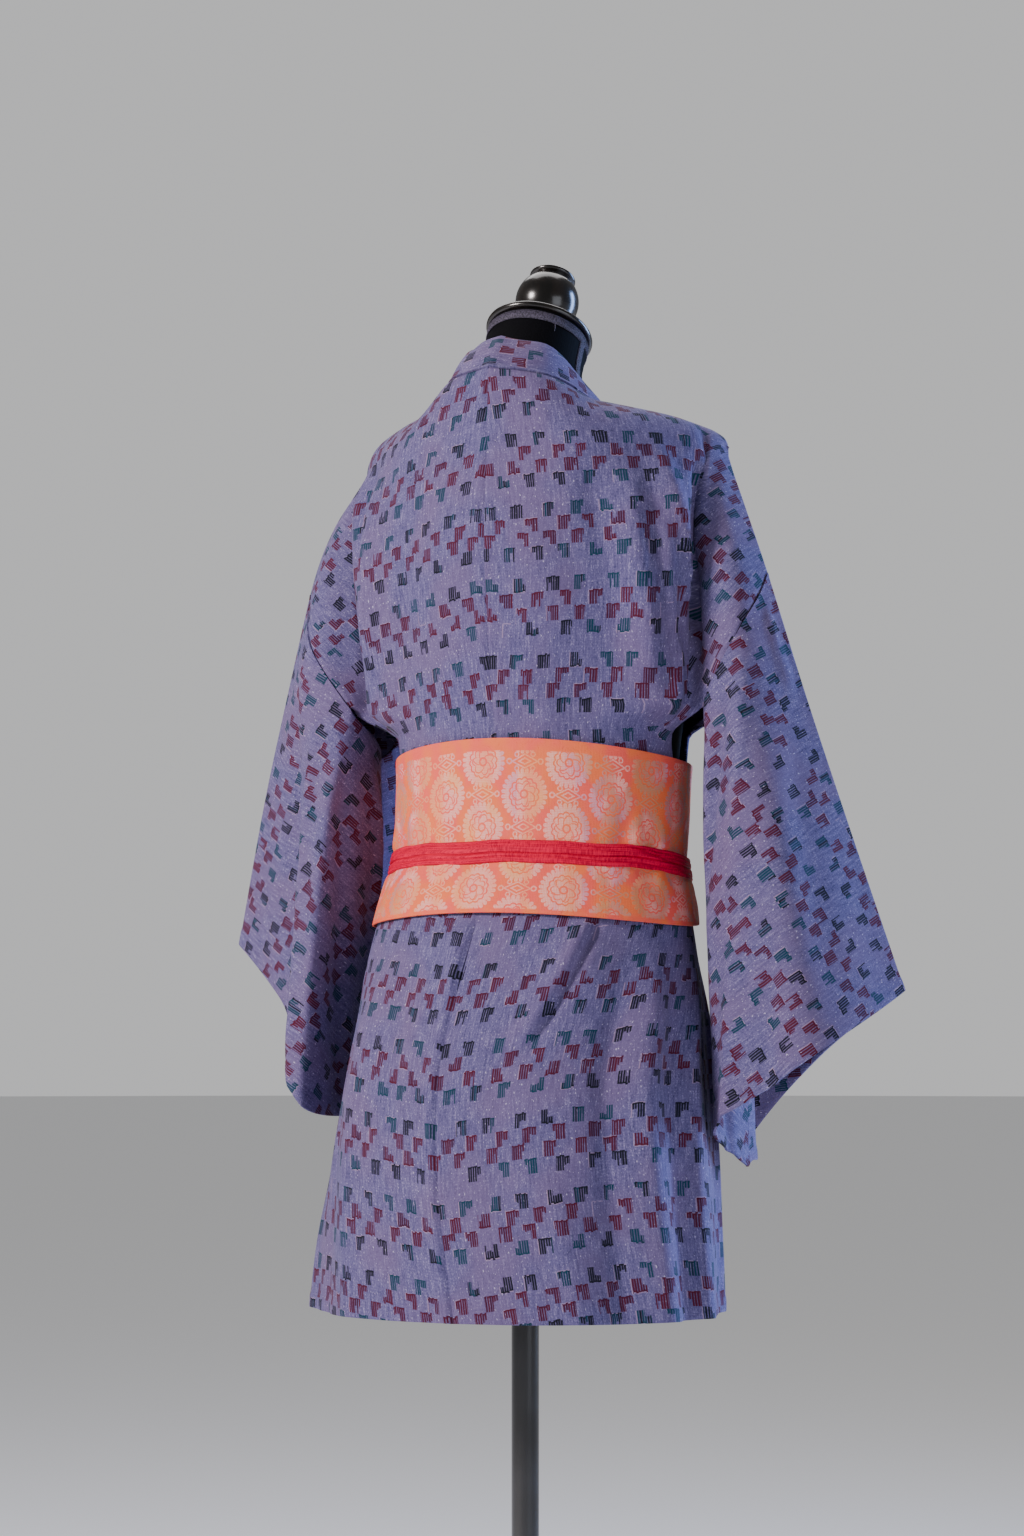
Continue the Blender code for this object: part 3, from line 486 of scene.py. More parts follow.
def shoulder_top(side, share, front):
    """Top of a column: on the neck seam, or past it on the shoulder ridge."""
    if share < NECK_SHARE:
        neck = neck_at(side, 2.0 - share / NECK_SHARE if front else share / NECK_SHARE)
        return Vector((side * max(neck.seam_out, SEAM_GAP), neck.seam_y, neck.seam_z))
    ridge = row_at(SHOULDER_RIDGE, share)
    return Vector((side * ridge.out, ridge.y, ridge.z))


# ---------------------------------------------------------------- grids of points
VALLEY_COLUMN = 8 / 14      # place among the columns where the valley lies


def column_share(place, end):
    """Share of the section at a column's place: the columns past the valley follow the section's end."""
    if place <= VALLEY_COLUMN:
        return VALLEY_SHARE * place / VALLEY_COLUMN
    return lerp(VALLEY_SHARE, end, (place - VALLEY_COLUMN) / (1 - VALLEY_COLUMN))


def drawn_in(edge, inner, gap):
    """A point of a wall's edge, drawn back toward the cloth by the gap that a seam keeps."""
    return edge + (inner - edge).normalized() * gap


def body_side(side, front, heights, turns, places):
    """Rows of the back or the front, from hem to shoulder ridge, each from its seam outward."""
    make_knots = front_knots if front else back_knots
    rows = []
    for z in heights:
        knots = make_knots(side, z)
        end = section_end(z)
        row = []
        for place in places:
            knot = row_at(knots, column_share(place, end))
            row.append(Vector((side * knot.out, knot.y, z)))
        if UNDERARM_Z < z < ARM_TOP_Z:
            along = min(along_at(ARM_TOP_Z - z), ARMHOLE)
            shift = sleeve_point(side, 0.0, along, front) - row[-1]
            for k, place in enumerate(places):
                row[k] = row[k] + shift * ease((place - 0.75) / 0.25)
            row[-1] = drawn_in(row[-1], row[-2], SEAM_GAP)
        row[0] = drawn_in(row[0], row[1], SEAM_GAP)
        rows.append(row)
    last = rows[-1]
    for turn in turns:
        row = []
        for start, place in zip(last, places):
            share = column_share(place, 1.0)
            top = start if front and place == 0 else shoulder_top(side, share, front)
            row.append(Vector((lerp(start.x, top.x, 1 - cos(turn)), lerp(start.y, top.y, 1 - cos(turn)),
                               lerp(start.z, top.z, sin(turn)))))
        rows.append(row)
    for k, place in enumerate(places):
        if column_share(place, 1.0) < NECK_SHARE and not (front and k == 0):
            rows[-1][k] = drawn_in(rows[-1][k], rows[-2][k], COLLAR_WALL_GAP)
    return np.array(rows)


def sleeve_point(side, down, along, front):
    """Point of a sleeve: how far down the outer fold (0 to 1) and how far in along the row."""
    sink = row_at(SLEEVE_SINK, along).down
    share = along / SLEEVE_DROP
    if front or side == LEFT:
        sink += SLEEVE_SAG * down * sin(pi * share) ** 2
    level = ARM_TOP_Z - down * (ARM_TOP_Z - CUFF_Z) - sink
    back = RIGHT_SLEEVE_BACK if side == RIGHT else LEFT_SLEEVE_BACK
    bag = row_at(SLEEVE_FRONT if front else back, level)
    wide = spread(side, level)
    knots = (Knot(0.0, bag.fold_out + wide, bag.fold_y), Knot(0.25, bag.bulge_out + wide / 2, bag.bulge_y),
             Knot(0.5, bag.ridge_out, bag.ridge_y), Knot(0.72, bag.inner_out, bag.inner_y),
             Knot(1.0, bag.seam_out, bag.seam_y))
    knot = row_at(knots, share)
    lift = LEFT_CUFF_LIFT * down if side == LEFT else 0.0
    return Vector((side * knot.out, knot.y, level + lift))


def sleeve_side(side, front, downs, places):
    """Rows of one layer of a sleeve, from the armhole to the cuff, each from the outer fold inward."""
    rows = np.array([[sleeve_point(side, down, SLEEVE_DROP * place, front) for place in places]
                     for down in downs])
    back = rows[1] - rows[0]
    along = np.gradient(rows[0], axis=0)
    along /= np.linalg.norm(along, axis=1, keepdims=True)
    back -= along * (back * along).sum(axis=1, keepdims=True)
    rows[0] += back / np.linalg.norm(back, axis=1, keepdims=True) * SLEEVE_WALL_GAP
    return rows


def run_lengths(points, axis):
    """Distance from the first point, along the rows (axis 1) or up the columns (axis 0)."""
    steps = np.linalg.norm(np.diff(points, axis=axis), axis=2)
    lengths = np.cumsum(steps, axis=axis)
    start = np.zeros_like(lengths[:, :1] if axis == 1 else lengths[:1])
    return np.concatenate((start, lengths), axis=axis)


def normals(points):
    """Unit normals of a grid, from its neighbours along both ways."""
    across = np.gradient(points, axis=1)
    up = np.gradient(points, axis=0)
    normal = np.cross(across, up)
    return normal / np.maximum(np.linalg.norm(normal, axis=2, keepdims=True), 1e-12)


# ---------------------------------------------------------------- flat charts
def lay_flat(points, triangles, guess, rounds=60):
    """Flat pattern of a curved sheet, as close to its true lengths and angles as it can be."""
    corners = points[triangles]
    base = corners[:, 1] - corners[:, 0]
    side = corners[:, 2] - corners[:, 0]
    length = np.linalg.norm(base, axis=1)
    local = np.zeros((len(triangles), 3, 2))
    local[:, 1, 0] = length
    local[:, 2, 0] = (side * base).sum(axis=1) / length
    local[:, 2, 1] = np.linalg.norm(np.cross(base, side), axis=1) / length
    flat_base = guess[triangles[:, 1]] - guess[triangles[:, 0]]
    flat_side = guess[triangles[:, 2]] - guess[triangles[:, 0]]
    local[:, 2, 1] *= np.sign((flat_base[:, 0] * flat_side[:, 1] - flat_base[:, 1] * flat_side[:, 0]).sum())
    count = len(points)
    pull = np.zeros((count, count))
    edges = []
    for k in range(3):
        i, j = (k + 1) % 3, (k + 2) % 3
        one, two = local[:, i] - local[:, k], local[:, j] - local[:, k]
        area = np.abs(one[:, 0] * two[:, 1] - one[:, 1] * two[:, 0])
        weight = np.clip((one * two).sum(axis=1) / np.maximum(area, 1e-12), 0.02, 8.0)
        start, end = triangles[:, i], triangles[:, j]
        np.add.at(pull, (start, start), weight)
        np.add.at(pull, (end, end), weight)
        np.add.at(pull, (start, end), -weight)
        np.add.at(pull, (end, start), -weight)
        edges.append((start, end, weight, local[:, i] - local[:, j]))
    pull[0, 0] += 1.0
    inverse = np.linalg.inv(pull)
    flat = guess.copy()
    for _ in range(rounds):
        along = sum(w * ((flat[i] - flat[j]) * d).sum(axis=1) for i, j, w, d in edges)
        turned = [w * (d[:, 0] * (flat[i] - flat[j])[:, 1] - d[:, 1] * (flat[i] - flat[j])[:, 0])
                  for i, j, w, d in edges]
        angle = np.arctan2(sum(turned), along)
        c, s = np.cos(angle), np.sin(angle)
        aim = np.zeros_like(flat)
        for i, j, w, d in edges:
            step = np.stack((c * d[:, 0] - s * d[:, 1], s * d[:, 0] + c * d[:, 1]), axis=1) * w[:, None]
            np.add.at(aim, i, step)
            np.add.at(aim, j, -step)
        flat = inverse @ aim
    return flat


def flat_charts(grids, guesses, joined):
    """Charts of two grids that are one cloth, joined where the given test holds for a point."""
    index = {}
    points, guess, numbers = [], [], []
    for grid, start in zip(grids, guesses):
        number = np.zeros(grid.shape[:2], int)
        for r in range(grid.shape[0]):
            for c in range(grid.shape[1]):
                key = tuple(np.round(grid[r, c], 5)) if joined(grid, r, c) else (id(grid), r, c)
                if key not in index:
                    index[key] = len(points)
                    points.append(grid[r, c])
                    guess.append(start[r, c])
                number[r, c] = index[key]
        numbers.append(number)
    triangles = []
    for number in numbers:
        a, b, c, d = number[:-1, :-1], number[:-1, 1:], number[1:, 1:], number[1:, :-1]
        flip = number is numbers[1]
        for one in ((a, b, c), (a, c, d)):
            corners = np.stack([x.ravel() for x in (one[::-1] if flip else one)], axis=1)
            triangles.append(corners)
    triangles = np.concatenate(triangles)
    distinct = ((triangles[:, 0] != triangles[:, 1]) & (triangles[:, 1] != triangles[:, 2])
                & (triangles[:, 2] != triangles[:, 0]))
    flat = lay_flat(np.array(points), triangles[distinct], np.array(guess))
    return [flat[number] for number in numbers]


def lined_up(charts, start, end, aim_start, aim_end):
    """Charts turned and moved so that a line across them runs between two aims."""
    run, aim = end - start, aim_end - aim_start
    turn = np.arctan2(aim[1], aim[0]) - np.arctan2(run[1], run[0])
    c, s = np.cos(turn), np.sin(turn)
    spin = np.array(((c, -s), (s, c)))
    return [(chart - start) @ spin.T + aim_start for chart in charts]


def turned_chart(chart, turn):
    """A chart turned about the place where the shoulder starts."""
    pivot = np.array((0.0, SHOULDER_Z))
    c, s = np.cos(turn), np.sin(turn)
    return (chart - pivot) @ np.array(((c, s), (-s, c))) + pivot


def resampled(chart, rows, columns, fine_rows, fine_columns):
    """A chart's values between its own rows and columns."""
    parts = []
    for k in range(2):
        across = np.array([np.interp(fine_columns, columns, row) for row in chart[:, :, k]])
        parts.append(np.array([np.interp(fine_rows, rows, across[:, c]) for c in range(across.shape[1])]).T)
    return np.stack(parts, axis=2)


# ---------------------------------------------------------------- cloth meshes
def crease_lift(panel, a, b):
    """How far this panel's creases and its own slight unevenness move the cloth out."""
    lift = 0.00035 * np.sin(31 * a + 17 * b + 1.3) * np.sin(23 * b - 9 * a)
    lift += 0.00025 * np.sin(70 * a - 22 * b + 0.4) * np.sin(41 * b + 26 * a + 2.1)
    for crease in CREASES[panel]:
        run = np.array((crease.to_a - crease.from_a, crease.to_b - crease.from_b))
        length = np.linalg.norm(run)
        run /= length
        s = ((a - crease.from_a) * run[0] + (b - crease.from_b) * run[1]) / length
        off = (a - crease.from_a) * -run[1] + (b - crease.from_b) * run[0]
        off -= crease.bow * 4 * np.clip(s, 0, 1) * (1 - np.clip(s, 0, 1))
        steep, gentle = 1 - 0.78 * abs(crease.edge), 1 + 1.6 * abs(crease.edge)
        sharp = np.where(off * np.sign(crease.edge) > 0, steep, gentle)
        shape = np.exp(-np.abs(off / (crease.width * sharp)) ** 1.8)
        lift += CREASE_DEPTH * crease.height * shape * ease(s / 0.22) * ease((1 - s) / 0.30)
    return lift


def cells(grid):
    """The corners of each cell of a grid, row by row."""
    rows, columns = grid.shape[:2]
    return [((r, c), (r, c + 1), (r + 1, c + 1), (r + 1, c))
            for r in range(rows - 1) for c in range(columns - 1)]


def placed(name, data):
    """A new object in the scene."""
    thing = bpy.data.objects.new(name, data)
    bpy.context.collection.objects.link(thing)
    return thing


def cloth_mesh(name, grids, chart_of, weights, surface, wall, hem_wall):
    """One mesh on several grids that share edges, given a wall that is thicker at its hems."""
    mesh = bpy.data.meshes.new(name)
    points, faces, uvs, weight = [], [], [], []
    for grid, chart_at, heavy in zip(grids, chart_of, weights):
        first = len(points)
        points += grid.reshape(-1, 3).tolist()
        weight += heavy.ravel().tolist()
        for cell in cells(grid):
            chart = chart_at(*cell[0])
            faces.append([first + i * grid.shape[1] + j for i, j in cell])
            uvs += [chart[i, j] for i, j in cell]
    mesh.from_pydata(points, [], faces)
    chart_layer = mesh.uv_layers.new(name="chart")
    chart_layer.data.foreach_set("uv", np.array(uvs).ravel())
    thing = placed(name, mesh)
    group = thing.vertex_groups.new(name="hem")
    for k, value in enumerate(weight):
        group.add((k,), value, "REPLACE")
    shape = bmesh.new()
    shape.from_mesh(mesh)
    bmesh.ops.remove_doubles(shape, verts=shape.verts, dist=SEAM_GAP / 4)
    bmesh.ops.recalc_face_normals(shape, faces=shape.faces)
    inner = [v for v in shape.verts if not v.is_boundary]
    bmesh.ops.smooth_vert(shape, verts=inner, factor=0.4, use_axis_x=True, use_axis_y=True, use_axis_z=True)
    shape.to_mesh(mesh)
    shape.free()
    mesh.materials.append(surface)
    thick = thing.modifiers.new("Wall", "SOLIDIFY")
    thick.thickness = hem_wall
    thick.thickness_vertex_group = wall / hem_wall
    thick.vertex_group = "hem"
    thick.offset = 0.0
    return plain(thing)


def plain(thing, angle=50):
    """The object with its modifiers worked into its mesh."""
    graph = bpy.context.evaluated_depsgraph_get()
    seen = thing.evaluated_get(graph)
    mesh = bpy.data.meshes.new_from_object(seen, preserve_all_data_layers=True, depsgraph=graph)
    thing.modifiers.clear()
    thing.data = mesh
    mesh.shade_smooth()
    mesh.set_sharp_from_angle(angle=radians(angle))
    return thing


def seam_dip(distance):
    return -SEAM_DIP * np.exp(-(distance / SEAM_WIDTH) ** 2)


def share_edge(grids, places):
    """Two grids meet: both take the middle of their points at these places."""
    grids[0][places] = grids[1][places] = (grids[0][places] + grids[1][places]) / 2


def hem_weight(distance):
    """1 within the turned-in edge, 0 on the single cloth."""
    return ease((HEM_DEPTH + 0.0015 - distance) / 0.003) * lerp(0.45, 1.0, ease(distance / 0.0016))


# ---------------------------------------------------------------- the jacket
FINE = 0.0048
BODY_HEIGHTS = [HEM_Z, HEM_Z + 0.0012, HEM_Z + 0.0028] + levels(
    (HEM_Z + 0.0055, 0.930, CHART_CUT_Z, WAIST_Z, UNDERARM_Z, ARM_TOP_Z, SHOULDER_Z), FINE)
BODY_TURNS = [pi / 2 * k / 12 for k in range(1, 12)] + [pi / 2 - 0.035, pi / 2]
BODY_PLACES = shares(84, 0.0034)
CHART_HEIGHTS = levels((CHART_CUT_Z, WAIST_Z, UNDERARM_Z, ARM_TOP_Z, SHOULDER_Z), 0.018)
CHART_TURNS = [pi / 2 * k / 4 for k in range(1, 5)]
CHART_PLACES = list(np.linspace(0, 1, 17))
TURN_RISE = 0.05            # stands for the quarter turn over the shoulder in a row's place


def row_places(heights, turns):
    return [*heights, *(SHOULDER_Z + TURN_RISE * turn / (pi / 2) for turn in turns)]


def shoulder_charts(side):
    """Charts of back and front above the waist, one cloth over the shoulder."""
    back = body_side(side, False, CHART_HEIGHTS, CHART_TURNS, CHART_PLACES)
    front = body_side(side, True, CHART_HEIGHTS, CHART_TURNS, CHART_PLACES)
    guesses = []
    top = run_lengths(back, 0)[-1, 8]
    reach = run_lengths(back, 1)[:, -1:]
    guesses.append(np.stack((-side * run_lengths(back, 1), run_lengths(back, 0)), axis=2))
    front_across = run_lengths(front, 1)
    guesses.append(np.stack((-side * (reach - front_across[:, -1:] + front_across),
                             2 * top - run_lengths(front, 0)), axis=2))

    def joined(grid, r, c):
        if r == grid.shape[0] - 1 and column_share(CHART_PLACES[c], 1.0) >= NECK_SHARE:
            return True
        return c == grid.shape[1] - 1 and (r >= len(CHART_HEIGHTS) or CHART_HEIGHTS[r] >= ARM_TOP_Z)

    charts = flat_charts((back, front), guesses, joined)
    seam = charts[0][:len(CHART_HEIGHTS), 0]
    return lined_up(charts, seam[0], seam[-1], np.array((0.0, CHART_CUT_Z)), np.array((0.0, SHOULDER_Z)))


def body_grids(side, name):
    """Back and front of one body panel with their creases, charts and hem weights."""
    upper = shoulder_charts(side)
    grids, charts, weights = [], [], []
    rows = row_places(BODY_HEIGHTS, BODY_TURNS)
    chart_rows = row_places(CHART_HEIGHTS, CHART_TURNS)
    cut_row = BODY_HEIGHTS.index(CHART_CUT_Z)
    valley = sum(place < VALLEY_COLUMN for place in BODY_PLACES) - 1
    for front in (False, True):
        grid = body_side(side, front, BODY_HEIGHTS, BODY_TURNS, BODY_PLACES)
        across = run_lengths(grid, 1)
        height = np.repeat(np.array(rows)[:, None], grid.shape[1], axis=1)
        outward = normals(grid) * (side if front else -side)
        panel = name + ("_front" if front else "_back")
        under_obi = ease((height - OBI_BOTTOM_Z + 0.016) / 0.014) * ease((1.088 - height) / 0.014)
        lift = crease_lift(panel, across, height) * (1 - under_obi)
        lift += seam_dip(across)
        if not front:
            bare = (1 - under_obi) * ease((1.40 - height) / 0.04)
            swell = SKIRT_SWELL * ease((0.95 - height) / 0.04) + SEAM_SWELL
            if side == LEFT:
                beside = np.exp(-((across - SWELL_PLACE) / SWELL_WIDTH) ** 2)
                lift += bare * swell * beside * ease(across / 0.004)
        to_side = across[:, -1:] - across
        lift += seam_dip(to_side) * (height < ARM_TOP_Z)
        grid = grid + outward * lift[:, :, None]
        flat = resampled(upper[front], chart_rows, CHART_PLACES, rows, BODY_PLACES)
        leans = np.array([row_at(WEAVE_LEAN, place)[1 if side == RIGHT else 2] for place in rows])[:, None]
        flat[:, :, 1] += leans * np.abs(flat[:, :, 0]) * (ease((height - 1.20) / 0.14) if front else 1.0)
        round_from = SIDE_CHART - across if front else across
        near = round_from - round_from ** 3 / 0.12
        skirt = np.stack((-side * round_from, height + (0 if front else leans * near)), axis=2)
        flap = turned_chart(flat, -side * FLAP_TURN)

        def chart_at(r, c, skirt=skirt, flat=flat, flap=flap):
            return skirt if r < cut_row else flap if c >= valley else flat

        charts.append(chart_at)
        slit = (height > SLIT_Z) & (height < UNDERARM_Z)
        heavy = hem_weight(height - HEM_Z)
        heavy = np.maximum(heavy, np.where(slit, hem_weight(to_side), 0.0))
        grids.append(grid)
        weights.append(heavy)
    sewn = [r for r, z in enumerate(rows) if z <= SLIT_Z or z >= ARM_TOP_Z]
    ridge = [c for c, place in enumerate(BODY_PLACES) if column_share(place, 1.0) >= NECK_SHARE]
    share_edge(grids, (sewn, -1))
    share_edge(grids, (-1, ridge))
    return grids, charts, weights


def make_body(name, side, surface):
    grids, charts, weights = body_grids(side, name)
    body = cloth_mesh("shell_" + name, grids, charts, weights, surface, CLOTH, HEM_CLOTH)
    return dress(body, name)


def dress(piece, nodes):
    """Ride the root and replace these nodes, hiding them: the piece stands for them."""
    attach(piece, "root")
    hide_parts(*([nodes] if isinstance(nodes, str) else nodes))
    return piece


SLEEVE_DOWNS = shares(64, 0.0032)
SLEEVE_PLACES = shares(58, 0.0036)
SLEEVE_CHART_DOWNS = list(np.linspace(0, 1, 15))
SLEEVE_CHART_PLACES = list(np.linspace(0, 1, 15))
FOLD_LENGTH = 0.40
SLEEVE_TURN = radians(-13)  # the weave lies turned this much from the fold


def sleeve_charts(side):
    grids = [sleeve_side(side, front, SLEEVE_CHART_DOWNS, SLEEVE_CHART_PLACES) for front in (False, True)]
    down = np.array(SLEEVE_CHART_DOWNS)[:, None] * FOLD_LENGTH * np.ones((1, len(SLEEVE_CHART_PLACES)))
    along = np.array(SLEEVE_CHART_PLACES)[None, :] * SLEEVE_DROP * np.ones((len(SLEEVE_CHART_DOWNS), 1))
    guesses = [np.stack((-side * down, -along), axis=2), np.stack((-side * down, along), axis=2)]
    charts = flat_charts(grids, guesses, lambda grid, r, c: c == 0)
    fold = charts[0][:, 0]
    start = np.array((-side * 0.36, SHOULDER_Z))
    aim = np.array((-side * cos(SLEEVE_TURN), sin(SLEEVE_TURN))) * FOLD_LENGTH
    return lined_up(charts, fold[0], fold[-1], start, start + aim)


def make_sleeve(name, side, surface):
    """A folded length: open at the cuff, and at the inner side under the armhole seam."""
    coarse = sleeve_charts(side)
    grids, charts, weights = [], [], []
    for front in (False, True):
        grid = sleeve_side(side, front, SLEEVE_DOWNS, SLEEVE_PLACES)
        down = run_lengths(grid, 0)
        along = np.array(SLEEVE_PLACES)[None, :] * SLEEVE_DROP * np.ones((len(SLEEVE_DOWNS), 1))
        outward = normals(grid) * (-side if front else side)
        if side == RIGHT:
            sag = (np.array(SLEEVE_DOWNS)[:, None] ** 4) * np.sin(pi * np.array(SLEEVE_PLACES))[None, :]
            grid[:, :, 2] += sag * (0.010 if front else -0.006)
        panel = name + ("_front" if front else "_back")
        lift = crease_lift(panel, down, along) * ease(along / 0.02) * ease((SLEEVE_DROP - along) / 0.02)
        lift *= ease(down / 0.02)
        lift += seam_dip(down) * (along < ARMHOLE + 0.004) + seam_dip(SLEEVE_DROP - along)
        grids.append(grid + outward * lift[:, :, None])
        flat = resampled(coarse[front], SLEEVE_CHART_DOWNS, SLEEVE_CHART_PLACES,
                         SLEEVE_DOWNS, SLEEVE_PLACES)
        charts.append(lambda r, c, flat=flat: flat)
        heavy = np.maximum(hem_weight(down[-1:] - down), np.where(along > ARMHOLE, hem_weight(down), 0.0))
        weights.append(heavy)
    for c in (0, -1):
        share_edge(grids, (slice(None), c))
    sleeve = cloth_mesh("shell_" + name, grids, charts, weights, surface, CLOTH, HEM_CLOTH)
    return dress(sleeve, name)


COLLAR_ACROSS = (0.0, 0.03, 0.08, 0.16, 0.30, 0.46, 0.62, 0.78, 0.90, 0.96, 1.0)


def collar_front_row(side, z):
    reach = row_at(FRONT_EDGE, z).out
    row = []
    for share in COLLAR_ACROSS:
        angle = front_angle(z, reach + COLLAR_WIDTH * (1 - share))
        point = on_torso(side, z, angle, lap(side, angle))
        row.append(Vector((side * point.x, point.y, z)))
    return row


def collar_neck_row(side, at):
    """Across the band round the neck; its free edge stands up a little unevenly."""
    neck = neck_at(side, at)
    seam = Vector((side * neck.seam_out, neck.seam_y, neck.seam_z))
    edge = Vector((side * neck.edge_out, neck.edge_y, neck.edge_z))
    place = side * at
    edge.z += 0.0012 * sin(9.0 * place + 0.6) - 0.0024 * np.exp(-((place - 0.36) / 0.07) ** 2)
    bulge = Vector((side * 0.10 * at, 0.6 - 0.5 * at, 0.35)).normalized() * 0.0022
    return [seam.lerp(edge, share) + bulge * sin(pi * share) for share in COLLAR_ACROSS]


def make_collar(surface):
    steps = 56
    heights = levels((HEM_Z, 0.930, WAIST_Z, SHOULDER_Z), 0.0075)
    rows = [collar_front_row(RIGHT, z) for z in heights]
    rows += [collar_neck_row(RIGHT, 2.0 * k / steps) for k in range(steps - 1, 0, -1)]
    rows += [collar_neck_row(LEFT, 2.0 * k / steps) for k in range(steps)]
    rows += [collar_front_row(LEFT, z) for z in reversed(heights)]
    for row in rows:
        row[0] = drawn_in(row[0], row[1], SEAM_GAP if row[0].z < SHOULDER_Z else COLLAR_WALL_GAP)
    grid = np.array(rows)
    across = run_lengths(grid, 1)
    outward = -normals(grid)
    grid += outward * seam_dip(across)[:, :, None]
    run = run_lengths(grid, 0).mean(axis=1, keepdims=True) * np.ones((1, grid.shape[1]))
    chart = np.stack((across + 0.020, run - 1.20), axis=2)
    heavy = lerp(0.35, 1.0, ease((across[:, -1:] - across) / 0.003))
    collar = cloth_mesh("shell_collar", [grid], [lambda r, c: chart], [heavy], surface, 0.0006, BAND_CLOTH)
    return dress(collar, "collar")


# ---------------------------------------------------------------- obi and waist tie
def waist_point(angle, z, standoff):
    """Point round the waist; the angle runs on from the back past the wearer's right."""
    turn = angle % (2 * pi)
    side, own = (RIGHT, turn) if turn <= pi else (LEFT, 2 * pi - turn)
    over = FRONT_LAP * ease((own - radians(104)) / radians(24))
    point = on_torso(side, z, own, standoff + over)
    return Vector((side * point.x, point.y, z))


def obi_top_z(angle):
    return 1.078 + 0.008 * cos(angle) - 0.010 * sin(angle) ** 2


def obi_bottom_z(angle):
    return OBI_BOTTOM_Z - 0.011 * sin(angle) ** 2


def tie_z(angle):
    return 0.974 + 0.010 * cos(angle)


Pucker = namedtuple("Pucker", "degrees lean rise width height")
PUCKERS = (
    Pucker(-48, 1, 0.040, 4.0, -0.0018),
    Pucker(-38, 2, 0.050, 4.5, 0.0034),
    Pucker(-30, -2, 0.044, 3.2, -0.0018),
    Pucker(-23, 3, 0.052, 4.0, 0.0036),
    Pucker(-13, 4, 0.040, 4.5, -0.0018),
    Pucker(-3, 0, 0.028, 4.5, 0.0016),
    Pucker(38, -3, 0.034, 5.0, 0.0022),
    Pucker(52, 4, 0.056, 4.5, -0.0020),
    Pucker(60, 0, 0.042, 3.6, 0.0036),
    Pucker(67, 2, 0.044, 3.0, -0.0018),
    Pucker(75, -1, 0.040, 3.6, 0.0034),
    Pucker(86, 0, 0.046, 4.0, -0.0018),
    Pucker(-36, 2, -0.040, 4.0, 0.0030),
    Pucker(-27, 5, -0.046, 4.0, -0.0020),
    Pucker(-18, 0, -0.034, 4.0, 0.0030),
    Pucker(-5, 3, -0.030, 4.5, -0.0018),
    Pucker(13, -9, -0.034, 2.8, 0.0032),
    Pucker(21, 4, -0.026, 3.4, -0.0014),
    Pucker(44, 0, -0.024, 5.0, 0.0018),
    Pucker(63, 3, -0.044, 4.5, -0.0020),
    Pucker(72, 0, -0.034, 3.6, 0.0034),
    Pucker(83, -2, -0.038, 4.0, -0.0018),
    Pucker(100, 1, 0.044, 4.4, 0.0030),
    Pucker(112, -2, 0.036, 4.0, -0.0016),
    Pucker(106, 2, -0.034, 4.0, 0.0026),
    Pucker(-64, 2, 0.046, 4.6, 0.0030),
    Pucker(-80, -2, 0.040, 4.0, -0.0018),
    Pucker(-97, 2, 0.050, 4.4, 0.0030),
    Pucker(-112, 0, 0.036, 4.0, -0.0016),
    Pucker(-58, -2, -0.040, 4.0, -0.0018),
    Pucker(-72, 2, -0.036, 4.4, 0.0030),
    Pucker(-90, 0, -0.044, 4.0, -0.0018),
    Pucker(-105, 2, -0.034, 4.0, 0.0028),
)


def obi_lift(angle, z):
    """The tie draws the obi in; above and below it the stiff cloth stands out in short puckers."""
    off = z - tie_z(angle)
    drawn = np.exp(-(off / 0.012) ** 2)
    belly = 0.0014 * (np.exp(-((off - 0.045) / 0.026) ** 2) + np.exp(-((off + 0.026) / 0.016) ** 2))
    lift = belly - TIE_PULL * drawn
    turn = np.degrees((angle + pi) % (2 * pi) - pi)
    for pucker in PUCKERS:
        above = off * np.sign(pucker.rise)
        reach = ease((above - 0.006) / 0.008) * ease((abs(pucker.rise) - above) / (0.75 * abs(pucker.rise)))
        across = (turn - pucker.degrees - pucker.lean * above / abs(pucker.rise)) / pucker.width
        lift = lift + pucker.height * reach * np.exp(-across ** 2)
    return lift


def make_obi(surface):
    """A stiff band wound once and lapped over its own start at the front."""
    steps = 300
    start = pi - OBI_LAP / 2
    sweep = 2 * pi + OBI_LAP
    rows = []
    for rise in shares(36, 0.010):
        row = []
        for k in range(steps + 1):
            angle = start + sweep * k / steps
            z = lerp(obi_bottom_z(angle), obi_top_z(angle), rise)
            spiral = OBI_LAP_RISE * ease((angle - start - sweep + OBI_LAP * 1.6) / (OBI_LAP * 0.6))
            row.append(waist_point(angle, z, OBI_STANDOFF + spiral + obi_lift(angle, z)))
        rows.append(row)
    grid = np.array(rows)
    around = run_lengths(grid, 1)
    middle = around[:, [round(steps * (2 * pi - start) / sweep)]]
    low = run_lengths(grid, 0)
    high = low[-1:] - low
    chart = np.stack((around[[0]] - middle[[0]] + 0 * around, low), axis=2)
    heavy = lerp(0.25, 1.0, ease(np.minimum(low, high) / 0.0022))
    obi = cloth_mesh("shell_obi", [grid], [lambda r, c: chart], [heavy], surface,
                     OBI_CLOTH * 0.5, OBI_CLOTH)
    return dress(obi, "obi")


def tie_standoff(angle):
    lapped = ease(1 - (abs(angle - pi) - OBI_LAP * 0.6) / (OBI_LAP * 0.8))
    return OBI_STANDOFF + OBI_CLOTH / 2 - TIE_PULL + OBI_LAP_RISE * lapped


TIE_GROOVES = ((-0.28, 0.6, 0.8), (-0.04, 0.85, -0.5), (0.16, 0.45, 1.2), (0.33, 0.6, 0.3))
GROOVE_WIDTH = 0.032        # share of the tie's height


